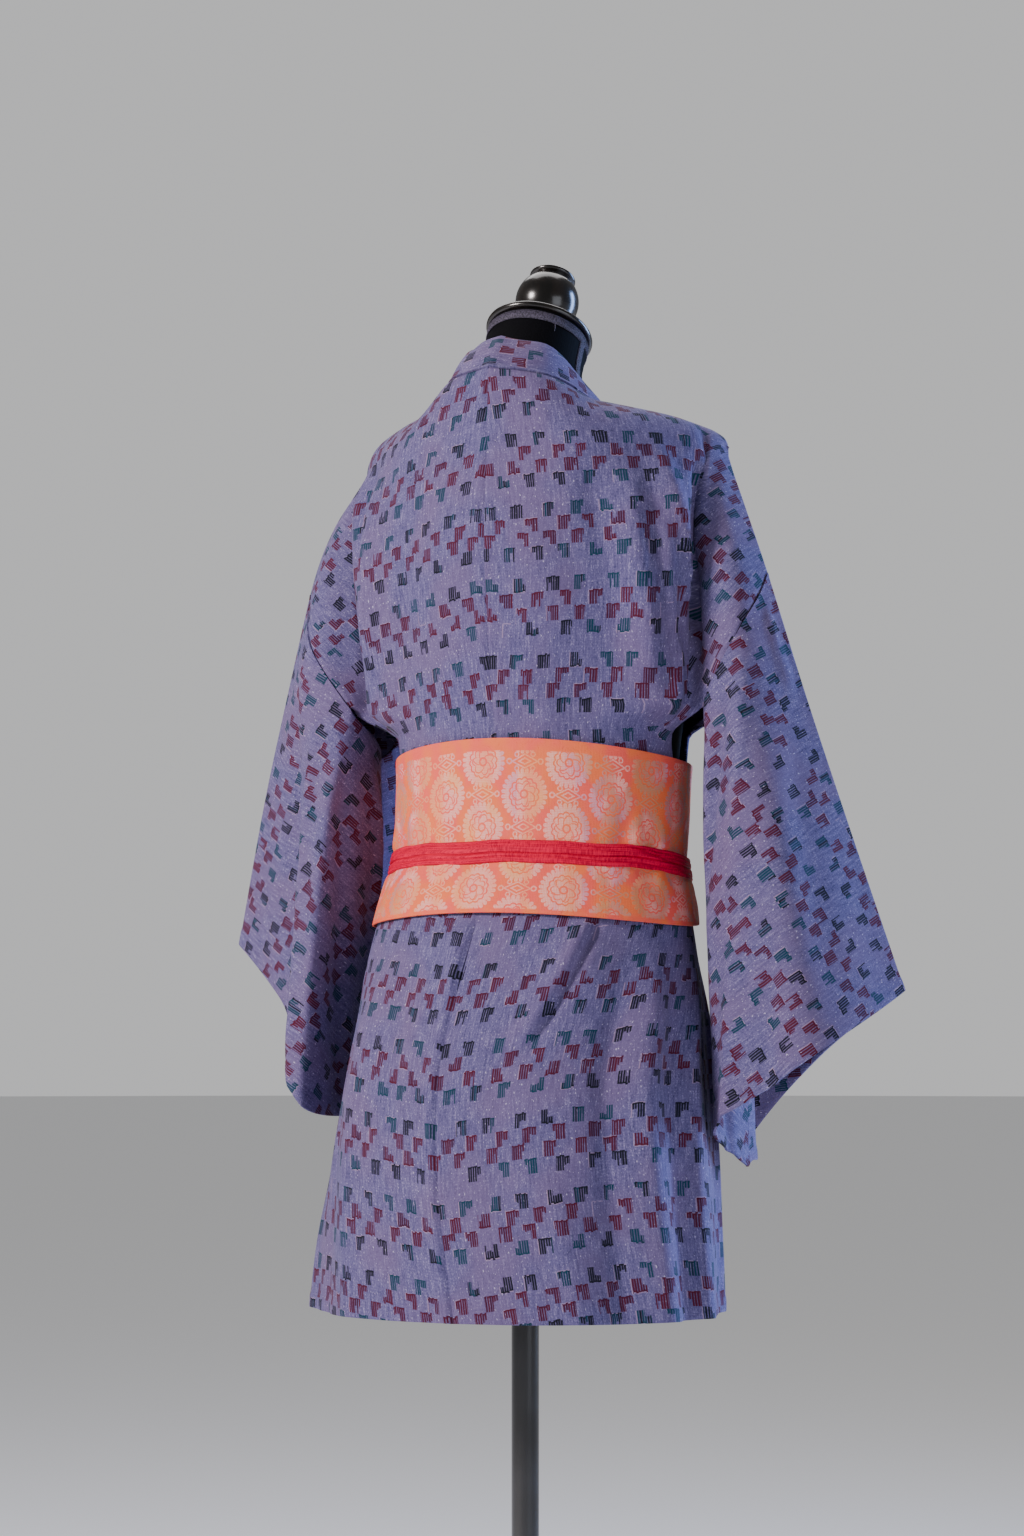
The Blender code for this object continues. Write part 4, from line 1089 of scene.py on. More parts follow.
def tie_relief(angle, up):
    """Height of the pleats across the tie, from 0 at the grooves to 1."""
    drift = 0.05 * sin(2.3 * angle + 0.4) + 0.03 * sin(5.1 * angle)
    relief = 1.0
    for groove, depth, sway in TIE_GROOVES:
        relief -= depth * np.exp(-((up - groove - drift * sway) / GROOVE_WIDTH) ** 2)
    crossing = (angle - radians(68)) / radians(26)
    if abs(crossing) < 1:
        slant = up + 0.42 * crossing
        relief += 0.9 * (1 - crossing ** 2) * np.exp(-(slant / 0.13) ** 2)
        relief -= 0.7 * (1 - crossing ** 2) * np.exp(-((slant - 0.20) / 0.05) ** 2)
    return relief


def make_tie(surface):
    """A flat band pleated along its length, closed round the waist."""
    steps, across = 420, 30
    rings = []
    for k in range(steps):
        angle = 2 * pi * k / steps
        base = tie_standoff(angle) + 0.0004
        centre = tie_z(angle) + 0.0006 * sin(7 * angle) + 0.0004 * sin(13 * angle + 1)
        ring = []
        for c in range(across + 1):
            up = c / across - 0.5
            rim = (1 - (2 * abs(up)) ** 6) ** 0.5 if abs(up) < 0.5 else 0.0
            off = base + TIE_THICKNESS * rim * (0.42 + 0.58 * tie_relief(angle, up))
            ring.append(waist_point(angle, centre + up * TIE_HEIGHT, off))
        for up in (0.40, 0.2, 0.0, -0.2, -0.40):
            ring.append(waist_point(angle, centre + up * TIE_HEIGHT, base - 0.0002))
        rings.append(ring)
    grid = np.array(rings + [rings[0]])
    grid = np.concatenate((grid, grid[:, :1]), axis=1)
    around = run_lengths(grid, 0)
    across_run = run_lengths(grid, 1)
    chart = np.stack((around, across_run), axis=2)
    return closed_band("shell_waist_tie", grid, chart, surface)


def closed_band(name, grid, chart, surface):
    """A closed tube from a grid whose first and last rows and columns meet."""
    mesh = bpy.data.meshes.new(name)
    faces = [[i * grid.shape[1] + j for i, j in cell] for cell in cells(grid)]
    uvs = [chart[corner] for cell in cells(grid) for corner in cell]
    mesh.from_pydata(grid.reshape(-1, 3).tolist(), [], faces)
    layer = mesh.uv_layers.new(name="chart")
    layer.data.foreach_set("uv", np.array(uvs).ravel())
    shape = bmesh.new()
    shape.from_mesh(mesh)
    bmesh.ops.remove_doubles(shape, verts=shape.verts, dist=1e-5)
    return from_bmesh(name, shape, surface, mesh)


def from_bmesh(name, shape, surface, mesh=None, angle=50):
    bmesh.ops.recalc_face_normals(shape, faces=shape.faces)
    mesh = mesh or bpy.data.meshes.new(name)
    shape.to_mesh(mesh)
    shape.free()
    mesh.shade_smooth()
    mesh.set_sharp_from_angle(angle=radians(angle))
    mesh.materials.append(surface)
    return placed(name, mesh)


def skin(shape, rings, closed=True):
    """Faces from each ring of corners to the next, and over both ends where they are closed."""
    for low, high in zip(rings, rings[1:]):
        for k in range(len(low)):
            after = (k + 1) % len(low)
            shape.faces.new((low[k], low[after], high[after], high[k]))
    if closed:
        shape.faces.new(rings[0])
        shape.faces.new(rings[-1])


def pillow(name, size, place, surface, relief):
    """A soft block: a superellipse in section, its face pleated along its length (local Z)."""
    shape = bmesh.new()
    rows, turns = 28, 40
    rings = []
    for r in range(rows + 1):
        up = -1 + 2 * r / rows
        taper = (1 - abs(up) ** 7) ** (1 / 3)
        ring = []
        for k in range(turns):
            turn = 2 * pi * k / turns
            x = np.sign(cos(turn)) * abs(cos(turn)) ** 0.55 * taper
            y = np.sign(sin(turn)) * abs(sin(turn)) ** 0.7 * taper
            y *= 1 + relief * sin(11 * x + 2.0 * up)
            ring.append(shape.verts.new((x * size.x / 2, y * size.y / 2, up * size.z / 2)))
        rings.append(ring)
    skin(shape, rings, closed=False)
    bmesh.ops.transform(shape, matrix=place, verts=shape.verts)
    bmesh.ops.remove_doubles(shape, verts=shape.verts, dist=1e-6)
    bmesh.ops.holes_fill(shape, edges=[e for e in shape.edges if e.is_boundary])
    return from_bmesh(name, shape, surface)


KNOT_REACH = 0.0050         # how far the band behind the knot fills the space to the tie
END_TUCK = 0.0080           # the ends' tops go up behind the knot's lower edge


def make_tie_front(surface):
    """The flat knot over the lapped front, and one short end below it on each side."""
    low, high = (Vector(corner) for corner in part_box("tie_knot"))
    middle = (low + high) / 2 + Vector((0, KNOT_REACH / 2, 0))
    size = high - low + Vector((0, KNOT_REACH, 0))
    knot = pillow("shell_tie_knot", size, Matrix.Translation(middle), surface, 0.10)
    dress(knot, "tie_knot")
    for node, side in (("tie_end_right", RIGHT), ("tie_end_left", LEFT)):
        low, high = (Vector(corner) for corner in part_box(node))
        lean = Matrix.Rotation(side * radians(-12), 4, "Y")
        place = Matrix.Translation((low + high) / 2 + Vector((-side * 0.0012, 0, END_TUCK / 2))) @ lean
        end = pillow("shell_" + node, Vector((0.0195, 0.0030, 0.069 + END_TUCK)), place, surface, 0.22)
        dress(end, node)


# ---------------------------------------------------------------- the dress form and its stand
FORM_SIDES = 96


def form_ring(z, half_width, back_y, side_y, front_y):
    ring = []
    for k in range(FORM_SIDES):
        angle = 2 * pi * k / FORM_SIDES
        depth = back_y - side_y if cos(angle) > 0 else side_y - front_y
        ring.append(Vector((half_width * sin(angle), side_y + depth * cos(angle), z)))
    return ring


def neck_frame(share):
    """Place and lean of the neck's section, from its foot (0) to the cap (1), and its radius."""
    foot = Vector((0.0, -0.0035, 1.408))
    tilt = NECK_TILT * float(ease(share * 1.4))
    spin = Matrix.Translation(foot.lerp(NECK_TOP, share)) @ Matrix.Rotation(tilt, 4, "X")
    return spin, float(lerp(0.0505, NECK_RADIUS, ease(share * 2)))


def neck_place(share, angle, proud=0.0):
    """Point on the neck; the angle runs from the back (0) toward the wearer's left."""
    spin, radius = neck_frame(share)
    reach = radius + proud
    return spin @ Vector((reach * sin(angle), reach * cos(angle), 0))


def make_form(surface):
    """Torso and neck in one smooth skin, flat underneath."""
    bottom = row_at(TORSO, FORM_BOTTOM_Z + 0.012)
    rings = [form_ring(FORM_BOTTOM_Z, bottom.half_width - 0.030, bottom.back_y - 0.030,
                       bottom.side_y, bottom.front_y + 0.030)]
    for z in levels((FORM_BOTTOM_Z + 0.012, 0.930, 0.990, WAIST_Z, SHOULDER_Z), 0.012):
        ring = row_at(TORSO, z)
        inset = FORM_INSET + 0.008 * float(ease((FORM_BOTTOM_Z + 0.04 - z) / 0.03))
        rings.append(form_ring(z, ring.half_width - inset, ring.back_y - inset, ring.side_y,
                               ring.front_y + inset))
    rings += [form_ring(*ring) for ring in FORM_TOP]
    rings += [[neck_place(k / 20, 2 * pi * s / FORM_SIDES) for s in range(FORM_SIDES)] for k in range(21)]
    shape = bmesh.new()
    skin(shape, [[shape.verts.new(point) for point in ring] for ring in rings])
    return dress(from_bmesh("shell_form", shape, surface), "form_torso")


def turned_piece(name, node, profile, surface, place=Matrix(), sides=96):
    """A solid turned about Z from (radius, height) points, bottom to top, then placed."""
    shape = bmesh.new()
    rings = []
    for radius, height in profile:
        turn = [2 * pi * k / sides for k in range(sides)]
        rings.append([shape.verts.new((radius * cos(a), radius * sin(a), height)) for a in turn])
    skin(shape, rings)
    bmesh.ops.transform(shape, matrix=place, verts=shape.verts)
    return dress(from_bmesh(name, shape, surface, angle=35), node)


def arc(radius, centre_r, centre_z, low, high, steps):
    """Points of a round stretch of a profile, between two angles in degrees."""
    turn = [radians(lerp(low, high, k / steps)) for k in range(steps + 1)]
    return [(centre_r + radius * cos(a), centre_z + radius * sin(a)) for a in turn]


def make_stand(wood, metal):
    """Cap and knob on the leaning neck, the pole, and the round weighted base."""
    lean = Matrix.Translation(NECK_TOP) @ Matrix.Rotation(NECK_TILT, 4, "X")
    cap = [(0.0435, SEAM_GAP), (0.0468, 0.0006)]
    cap += arc(0.0032, 0.0468, 0.0040, -80, 80, 10)
    cap += [(0.0440, 0.0080), (0.0420, 0.0089), (0.0300, 0.0096), (0.0200, 0.0100)]
    turned_piece("shell_cap", "neck_cap", cap, wood, lean)
    knob = [(0.0176, 0.0100 + SEAM_GAP), (0.0180, 0.0130), (0.0188, 0.0170), (0.0208, 0.0206)]
    knob += arc(0.0295, 0.0, 0.0420, -40, 52, 26)
    knob += [(0.0186, 0.0656)]
    knob += arc(0.0022, 0.0194, 0.0688, -70, 78, 10)
    knob += [(0.0160, 0.0726), (0.0110, 0.0738), (0.0040, 0.0741)]
    turned_piece("shell_knob", "neck_knob", knob, wood, lean)
    pole = [(POLE_RADIUS, 0.030 + SEAM_GAP), (POLE_RADIUS, FORM_BOTTOM_Z - SEAM_GAP)]
    turned_piece("shell_pole", "pole", pole, metal, sides=64)
    base = [(BASE_RADIUS - 0.003, 0.0)] + arc(0.003, BASE_RADIUS - 0.003, 0.003, -70, 0, 5)
    base += arc(0.004, BASE_RADIUS - 0.004, 0.009, 0, 80, 6)
    base += [(0.140, 0.0152), (0.100, 0.0180), (0.060, 0.0200), (0.040, 0.0214), (0.034, 0.0226)]
    base += arc(0.004, 0.0235, 0.0262, 0, 80, 6) + [(0.020, 0.0300)]
    turned_piece("shell_base", "base", base, metal, sides=128)


# ---------------------------------------------------------------- the knitted braid on the neck
BRAID_LOW = 0.815           # shares of the neck's length
BRAID_HIGH = 0.965
BRAID_ROWS = 6
BRAID_TURNS = 97            # points round the neck, the first one again at the end
BRAID_WALL = 0.0006
BRAID_PROUD = 0.0001        # how far the braid lies off the neck
ROW_PROUD = 0.0008          # and its rows of stitches
ROW_MARGIN = 0.012
TAPE_POINTS = 17
TAPE_HALF = 0.0042
TAPE_ROWS = (-0.7, -0.23, 0.23, 0.7)
THREAD_POINTS = 11
STITCH = 0.00125            # pitch of the knitted stitches
TAPE_ANGLE = radians(-88)   # where the braid's end hangs down the neck
THREAD_ANGLE = radians(-43)


def stitch_shape():
    """One knitted stitch: two plump legs that lean together."""
    shape = bmesh.new()
    for way in (-1, 1):
        leg = bmesh.ops.create_icosphere(shape, subdivisions=1, radius=1.0)["verts"]
        stretch = Matrix.Diagonal((0.00034, 0.00090, 0.00034, 1.0))
        lean = Matrix.Rotation(way * radians(24), 4, "Z")
        place = Matrix.Translation((way * 0.00030, 0, 0)) @ lean @ stretch
        bmesh.ops.transform(shape, matrix=place, verts=leg)
    mesh = bpy.data.meshes.new("stitch")
    shape.to_mesh(mesh)
    shape.free()
    return bpy.data.objects.new("stitch", mesh)


def stitch_tree():
    """Stitches set at even steps along every line of a mesh, facing out from a centre."""
    tree = bpy.data.node_groups.new("stitches", "GeometryNodeTree")
    face = tree.interface
    face.new_socket("Lines", in_out="INPUT", socket_type="NodeSocketGeometry")
    face.new_socket("Spacing", in_out="INPUT", socket_type="NodeSocketFloat")
    face.new_socket("Stitch", in_out="INPUT", socket_type="NodeSocketObject")
    face.new_socket("Thread", in_out="INPUT", socket_type="NodeSocketMaterial")
    face.new_socket("Centre", in_out="INPUT", socket_type="NodeSocketVector")
    face.new_socket("Seed", in_out="INPUT", socket_type="NodeSocketInt")
    face.new_socket("Stitches", in_out="OUTPUT", socket_type="NodeSocketGeometry")
    kinds = {"given": "NodeGroupInput", "made": "NodeGroupOutput", "curve": "GeometryNodeMeshToCurve",
             "steps": "GeometryNodeResampleCurve", "copies": "GeometryNodeInstanceOnPoints",
             "shape": "GeometryNodeObjectInfo", "along": "GeometryNodeInputTangent",
             "place": "GeometryNodeInputPosition", "out": "ShaderNodeVectorMath",
             "turn": "FunctionNodeAlignRotationToVector", "face": "FunctionNodeAlignRotationToVector",
             "size": "FunctionNodeRandomValue", "real": "GeometryNodeRealizeInstances",
             "dye": "GeometryNodeSetMaterial"}
    node = {name: tree.nodes.new(kind) for name, kind in kinds.items()}
    node["steps"].mode = "LENGTH"
    node["out"].operation = "SUBTRACT"
    node["turn"].axis = "X"
    node["face"].axis = "Z"
    node["face"].pivot_axis = "X"
    node["size"].data_type = "FLOAT_VECTOR"
    node["size"].inputs["Min"].default_value = (0.85, 0.85, 0.85)
    node["size"].inputs["Max"].default_value = (1.15, 1.15, 1.15)
    wires = (("given", "Lines", "curve", "Mesh"), ("curve", "Curve", "steps", "Curve"),
             ("given", "Spacing", "steps", "Length"), ("steps", "Curve", "copies", "Points"),
             ("given", "Stitch", "shape", "Object"), ("shape", "Geometry", "copies", "Instance"),
             ("along", "Tangent", "turn", "Vector"), ("turn", "Rotation", "face", "Rotation"),
             ("place", "Position", "out", 0), ("given", "Centre", "out", 1), ("out", 0, "face", "Vector"),
             ("face", "Rotation", "copies", "Rotation"), ("given", "Seed", "size", "Seed"),
             ("size", "Value", "copies", "Scale"), ("copies", "Instances", "real", "Geometry"),
             ("real", "Geometry", "dye", "Geometry"), ("given", "Thread", "dye", "Material"),
             ("dye", "Geometry", "made", "Stitches"))
    for start, output, end, socket in wires:
        tree.links.new(node[start].outputs[output], node[end].inputs[socket])
    return tree


def stitched(lines, thread, centre):
    """A plain mesh of stitches along lists of points."""
    mesh = bpy.data.meshes.new("lines")
    points, edges = [], []
    for line in lines:
        first = len(points)
        points += line
        edges += [(first + k, first + k + 1) for k in range(len(line) - 1)]
    mesh.from_pydata(points, edges, [])
    thing = placed("stitched_lines", mesh)
    maker = thing.modifiers.new("Stitches", "NODES")
    maker.node_group = stitch_tree()
    given = {"Spacing": STITCH, "Stitch": stitch_shape(), "Thread": thread, "Centre": centre, "Seed": 7}
    for item in maker.node_group.interface.items_tree:
        if item.in_out == "INPUT" and item.name in given:
            maker[item.identifier] = given[item.name]
    graph = bpy.context.evaluated_depsgraph_get()
    made = bpy.data.meshes.new_from_object(thing.evaluated_get(graph), depsgraph=graph)
    bpy.data.objects.remove(thing)
    return made


def strip(points, across, out, thickness):
    """A flat closed ribbon along points, each with its own way across and way out."""
    shape = bmesh.new()
    skin(shape, [[shape.verts.new(point + side * x + lift * (y * thickness)) for x, y in
                  ((-1, 0), (-1, 1), (0, 1.15), (1, 1), (1, 0))]
                 for point, side, lift in zip(points, across, out)])
    bmesh.ops.recalc_face_normals(shape, faces=shape.faces)
    mesh = bpy.data.meshes.new("strip")
    shape.to_mesh(mesh)
    shape.free()
    return mesh


def make_braid(thread):
    """The knitted braid that binds the neck's top, its end down the right side, and a loose thread."""
    turns = [2 * pi * k / (BRAID_TURNS - 1) for k in range(BRAID_TURNS)]
    middle = (BRAID_LOW + BRAID_HIGH) / 2
    rise = (neck_place(BRAID_HIGH, 0) - neck_place(BRAID_LOW, 0)).length / 2
    up = (neck_frame(1.0)[0].to_3x3() @ Vector((0, 0, 1))).normalized()
    ring = [neck_place(middle, turn, BRAID_PROUD) for turn in turns]
    outward = [(neck_place(middle, turn, 0.01) - neck_place(middle, turn)).normalized() for turn in turns]
    meshes = [strip(ring, [up * rise] * BRAID_TURNS, outward, BRAID_WALL)]
    low, high = BRAID_LOW + ROW_MARGIN, BRAID_HIGH - ROW_MARGIN
    rows = [[neck_place(lerp(low, high, k / (BRAID_ROWS - 1)), turn, ROW_PROUD) for turn in turns]
            for k in range(BRAID_ROWS)]
    drop = [BRAID_LOW * (1 - k / (TAPE_POINTS - 1)) + 0.03 for k in range(TAPE_POINTS)]
    on_neck = neck_place(0.5, TAPE_ANGLE)
    aside = (neck_place(0.5, TAPE_ANGLE + 0.08) - on_neck).normalized() * TAPE_HALF
    facing = (neck_place(0.5, TAPE_ANGLE, 0.01) - on_neck).normalized()
    tape = [neck_place(share, TAPE_ANGLE, BRAID_PROUD) for share in drop]
    meshes.append(strip(tape, [aside] * TAPE_POINTS, [facing] * TAPE_POINTS, BRAID_WALL))
    rows += [[point + aside * step + facing * 0.0007 for point in tape] for step in TAPE_ROWS]
    meshes.append(stitched(rows, thread, neck_place(0.5, 0, -NECK_RADIUS)))
    root = neck_place(BRAID_LOW + 0.01, THREAD_ANGLE, 0.0010)
    hang = [root + Vector((-0.0006 * sin(0.5 * k), 0.0003 * k, -0.0014 * k)) for k in range(THREAD_POINTS)]
    meshes.append(strip(hang, [Vector((0.00022, 0, 0))] * THREAD_POINTS,
                        [Vector((0, 1, 0))] * THREAD_POINTS, 0.00035))
    shape = bmesh.new()
    for mesh in meshes:
        shape.from_mesh(mesh)
    braid = bpy.data.meshes.new("shell_braid")
    shape.to_mesh(braid)
    shape.free()
    braid.shade_smooth()
    braid.materials.clear()
    braid.materials.append(thread)
    braid.polygons.foreach_set("material_index", [0] * len(braid.polygons))
    thing = placed("shell_braid", braid)
    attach(thing, "root")


# ---------------------------------------------------------------- arithmetic in materials
def arithmetic(operation, *fixed):
    """One math node's operation, written as a reading's own."""
    return lambda reading, *others: reading.worked(operation, *others, *fixed)


class Reading:
    """A number that a material's nodes work out, written as plain arithmetic."""

    def __init__(self, tree, socket):
        self.tree = tree
        self.socket = socket

    def worked(self, operation, *others):
        node = self.tree.nodes.new("ShaderNodeMath")
        node.operation = operation
        for socket, value in zip(node.inputs, (self, *others)):
            feed(self.tree, socket, value)
        return Reading(self.tree, node.outputs[0])

    __add__ = arithmetic("ADD")
    __sub__ = arithmetic("SUBTRACT")
    __mul__ = arithmetic("MULTIPLY")
    __truediv__ = arithmetic("DIVIDE")
    __mod__ = arithmetic("FLOORED_MODULO")
    less = arithmetic("LESS_THAN")
    more = arithmetic("GREATER_THAN")
    lowest = arithmetic("MINIMUM")
    highest = arithmetic("MAXIMUM")
    floor = arithmetic("FLOOR")
    fract = arithmetic("FRACT")
    size = arithmetic("ABSOLUTE")
    sine = arithmetic("SINE")
    root = arithmetic("SQRT")
    bearing = arithmetic("ARCTAN2")
    flipped = arithmetic("MULTIPLY_ADD", -1.0, 1.0)     # one minus the number

    def rise(self, low, high):
        """0 below low, 1 above high, smooth between; falls instead where low is the higher one."""
        node = self.tree.nodes.new("ShaderNodeMapRange")
        node.interpolation_type = "SMOOTHSTEP"
        for socket, value in zip(node.inputs, (self, low, high, 0.0, 1.0)):
            feed(self.tree, socket, value)
        return Reading(self.tree, node.outputs[0])


def feed(tree, socket, value):
    """Link a reading or a colour's socket, or set a plain value."""
    if isinstance(value, Reading):
        tree.links.new(value.socket, socket)
    elif isinstance(value, bpy.types.NodeSocket):
        tree.links.new(value, socket)
    elif isinstance(value, tuple) and len(value) == 3 and socket.type == "RGBA":
        socket.default_value = (*value, 1.0)
    else:
        socket.default_value = value


def vector(tree, x, y, z=0.0):
    node = tree.nodes.new("ShaderNodeCombineXYZ")
    for socket, value in zip(node.inputs, (x, y, z)):
        feed(tree, socket, value)
    return node.outputs[0]


def luck(tree, x, y, z=0.0):
    """Three even random numbers that belong to a whole-numbered place."""
    node = tree.nodes.new("ShaderNodeTexWhiteNoise")
    tree.links.new(vector(tree, x, y, z), node.inputs["Vector"])
    split = tree.nodes.new("ShaderNodeSeparateColor")
    tree.links.new(node.outputs["Color"], split.inputs[0])
    return [Reading(tree, socket) for socket in split.outputs]


def noise(tree, place, scale=1.0, detail=2.0, roughness=0.5):
    node = tree.nodes.new("ShaderNodeTexNoise")
    tree.links.new(place, node.inputs["Vector"])
    node.inputs["Scale"].default_value = scale
    node.inputs["Detail"].default_value = detail
    node.inputs["Roughness"].default_value = roughness
    return Reading(tree, node.outputs[0])


def blend(tree, first, second, share):
    """Colour between two colours."""
    node = tree.nodes.new("ShaderNodeMix")
    node.data_type = "RGBA"
    feed(tree, node.inputs[0], share)
    feed(tree, node.inputs[6], first)
    feed(tree, node.inputs[7], second)
    return node.outputs[2]


def new_material(name):
    surface = bpy.data.materials.new(name)
    surface.use_nodes = True
    return surface, surface.node_tree


def chart_place(tree):
    """The cloth's own chart, in metres across and along the warp."""
    node = tree.nodes.new("ShaderNodeUVMap")
    node.uv_map = "chart"
    return axes(tree, node.outputs[0])[:2]


def object_place(tree):
    return tree.nodes.new("ShaderNodeTexCoord").outputs["Object"]


def axes(tree, place):
    """A place's three numbers."""
    split = tree.nodes.new("ShaderNodeSeparateXYZ")
    tree.links.new(place, split.inputs[0])
    return [Reading(tree, socket) for socket in split.outputs]


def settle(surface, **settings):
    """Feeds the shader, each input by its name in small letters joined with underscores."""
    sockets = surface.node_tree.nodes["Principled BSDF"].inputs
    named = {socket.name.lower().replace(" ", "_"): socket for socket in sockets}
    for name, value in settings.items():
        feed(surface.node_tree, named[name], value)


def bumped(surface, height, strength, distance):
    tree = surface.node_tree
    node = tree.nodes.new("ShaderNodeBump")
    node.inputs["Strength"].default_value = strength
    node.inputs["Distance"].default_value = distance
    feed(tree, node.inputs["Height"], height)
    settle(surface, normal=node.outputs[0])
    return surface


# ---------------------------------------------------------------- kasuri
ROW_PITCH = 0.0134          # from one row of marks to the next along the warp
PERIOD = 0.0690             # four rows and the plain gap after them
MARK_PITCH = 0.0262         # from mark to mark in a row
MARK_HEIGHT = 0.0118
STROKE = 0.0021             # pitch of the strokes inside a mark
GROUND_DEEP = (0.042, 0.037, 0.110)
GROUND = (0.106, 0.090, 0.210)
GROUND_PALE = (0.290, 0.250, 0.440)
SLUB = (0.500, 0.440, 0.640)
MAROON = (0.072, 0.004, 0.018)
PLUM = (0.034, 0.004, 0.024)
TEAL = (0.004, 0.034, 0.060)
INK = (0.004, 0.005, 0.011)


def kasuri_cloth():
    """Plain weave with a lavender ground and rows of small resist-dyed marks."""
    surface, tree = new_material("kasuri cloth")
    u, v = chart_place(tree)
    wobble = noise(tree, vector(tree, u * 55.0, v * 38.0), detail=1.0) - 0.5
    across = u + wobble * 0.0016
    along = v + (noise(tree, vector(tree, u * 24.0, v * 9.0, 4.0), detail=0.0) - 0.5) * 0.0022

    period = (along / PERIOD).floor()
    within = along - period * PERIOD
    row = (within / ROW_PITCH).floor()
    rise = within - row * ROW_PITCH
    row_number = period * 4.0 + row
    row_luck = luck(tree, row_number, 3.0)
    shifted = across / MARK_PITCH + (row % 2.0) * 0.5 + (row_luck[0] - 0.5) * 0.24
    column = shifted.floor()
    reach = (shifted - column) * MARK_PITCH
    one = luck(tree, column, row_number)
    two = luck(tree, column, row_number, 9.0)

    stroke_number = (across / STROKE).floor()
    stroke = luck(tree, stroke_number, row_number, 5.0)
    leans = luck(tree, column, row_number, 17.0)
    local = reach - one[0] * 0.0060 - 0.0040
    width = one[1] * 0.0028 + 0.0098
    height = rise + (stroke[0] - 0.5) * 0.0020 - (two[0] - 0.5) * 0.0010
    upside = two[1].more(0.74)
    hang = height * -1.0 + (MARK_HEIGHT + 0.0014)
    hang = hang + upside * (height * 2.0 - (MARK_HEIGHT + 0.0026))
    bar = one[2] * 0.0024 + 0.0046
    on_left = local / width
    full_side = on_left + leans[0].more(0.60) * (on_left * -2.0 + 1.0)
    long_stroke = full_side.less(two[2] * 0.42 + 0.36).highest(stroke[1].more(0.84))
    length = bar + long_stroke * (stroke[2] * 0.0022 + 0.0072) + stroke[1] * 0.0012
    shape = hang.more(0.0) * hang.less(length) * local.more(0.0) * local.less(width)
    mark = shape * row.less(4.0) * leans[1].less(0.975)

    in_stroke = (across / STROKE).fract()
    comb = in_stroke.rise(0.48, 0.62) * in_stroke.rise(1.0, 0.92) * hang.rise(0.0006, 0.0024)
    comb = comb * (stroke[1] * 0.6 + 0.4)
    cool_row = row.less(0.5) + row.more(2.5)
    teal_share = (two[0] + (stroke[2] - 0.5) * 0.5).rise(0.42, 0.62)
    cool = blend(tree, INK, TEAL, teal_share)
    warm = blend(tree, MAROON, PLUM, stroke[2] * one[1])
    dye = blend(tree, warm, cool, cool_row)

    threads = noise(tree, vector(tree, across * 480.0, v * 62.0), detail=3.0, roughness=0.65)
    fine = noise(tree, vector(tree, across * 1150.0, v * 520.0, 2.0), detail=1.0)
    weft = noise(tree, vector(tree, u * 80.0, v * 900.0, 6.0), detail=1.0)
    broad = noise(tree, vector(tree, u * 14.0, v * 10.0, 8.0), detail=2.0)
    tone = threads * 0.50 + fine * 0.38 + weft * 0.12
    ground = blend(tree, GROUND_DEEP, GROUND, tone.rise(0.34, 0.50))
    ground = blend(tree, ground, GROUND_PALE, tone.rise(0.50, 0.68) * 0.75)
    ground = blend(tree, ground, (0.150, 0.098, 0.200), broad.rise(0.42, 0.62) * 0.45)
    slub = noise(tree, vector(tree, across * 640.0, v * 330.0, 12.0), detail=1.0)
    flecked = slub.rise(0.66, 0.76) * broad.rise(0.30, 0.55)
    ground = blend(tree, ground, SLUB, flecked * 0.85)
    rim_left = local.rise(-0.0011, -0.0005) * local.rise(0.0004, 0.0) * hang.more(0.0) * hang.less(length)
    rim_top = hang.rise(-0.0011, -0.0004) * hang.rise(0.0004, 0.0) * local.more(0.0) * local.less(width)
    edge = rim_left.highest(rim_top) * leans[2].more(0.62) * row.less(4.0)
    ground = blend(tree, ground, (0.50, 0.33, 0.46), edge * 0.35)
    inked = blend(tree, dye, ground, comb * 0.85)
    colour = blend(tree, ground, inked, mark)

    settle(surface, base_color=colour, roughness=0.82, sheen_weight=0.05, sheen_roughness=0.45,
           specular_ior_level=0.15)
    return bumped(surface, threads * 0.7 + fine * 0.5 + weft * 0.3 + flecked * 0.6, 0.55, 0.0007)


# ---------------------------------------------------------------- brocade
MEDALLION = 0.0236          # radius of a medallion
COLUMN_PITCH = 0.0430
MEDALLION_PITCH = 0.0590    # from medallion to medallion in a column
OBI_FIGURED = 0.1515        # height where the plain top margin starts
MEDALLION_FOOT = 0.0235     # height of the lowest medallion's centre in an even column
PETALS = 28
CORAL = (0.900, 0.100, 0.070)
ORANGE = (0.900, 0.160, 0.045)
PALE_PINK = (0.940, 0.500, 0.430)
PEACH = (0.930, 0.390, 0.190)
LAVENDER = (0.600, 0.360, 0.520)
OLIVE = (0.250, 0.150, 0.070)


def medallion_place(u, v, column):
    """Sideways and upward distance to the nearest medallion of a column, and its number."""
    aside = u - column * COLUMN_PITCH
    raised = v - (column % 2.0) * (MEDALLION_PITCH / 2) - MEDALLION_FOOT
    number = (raised / MEDALLION_PITCH + 0.5).floor()
    return aside, raised - number * MEDALLION_PITCH, number


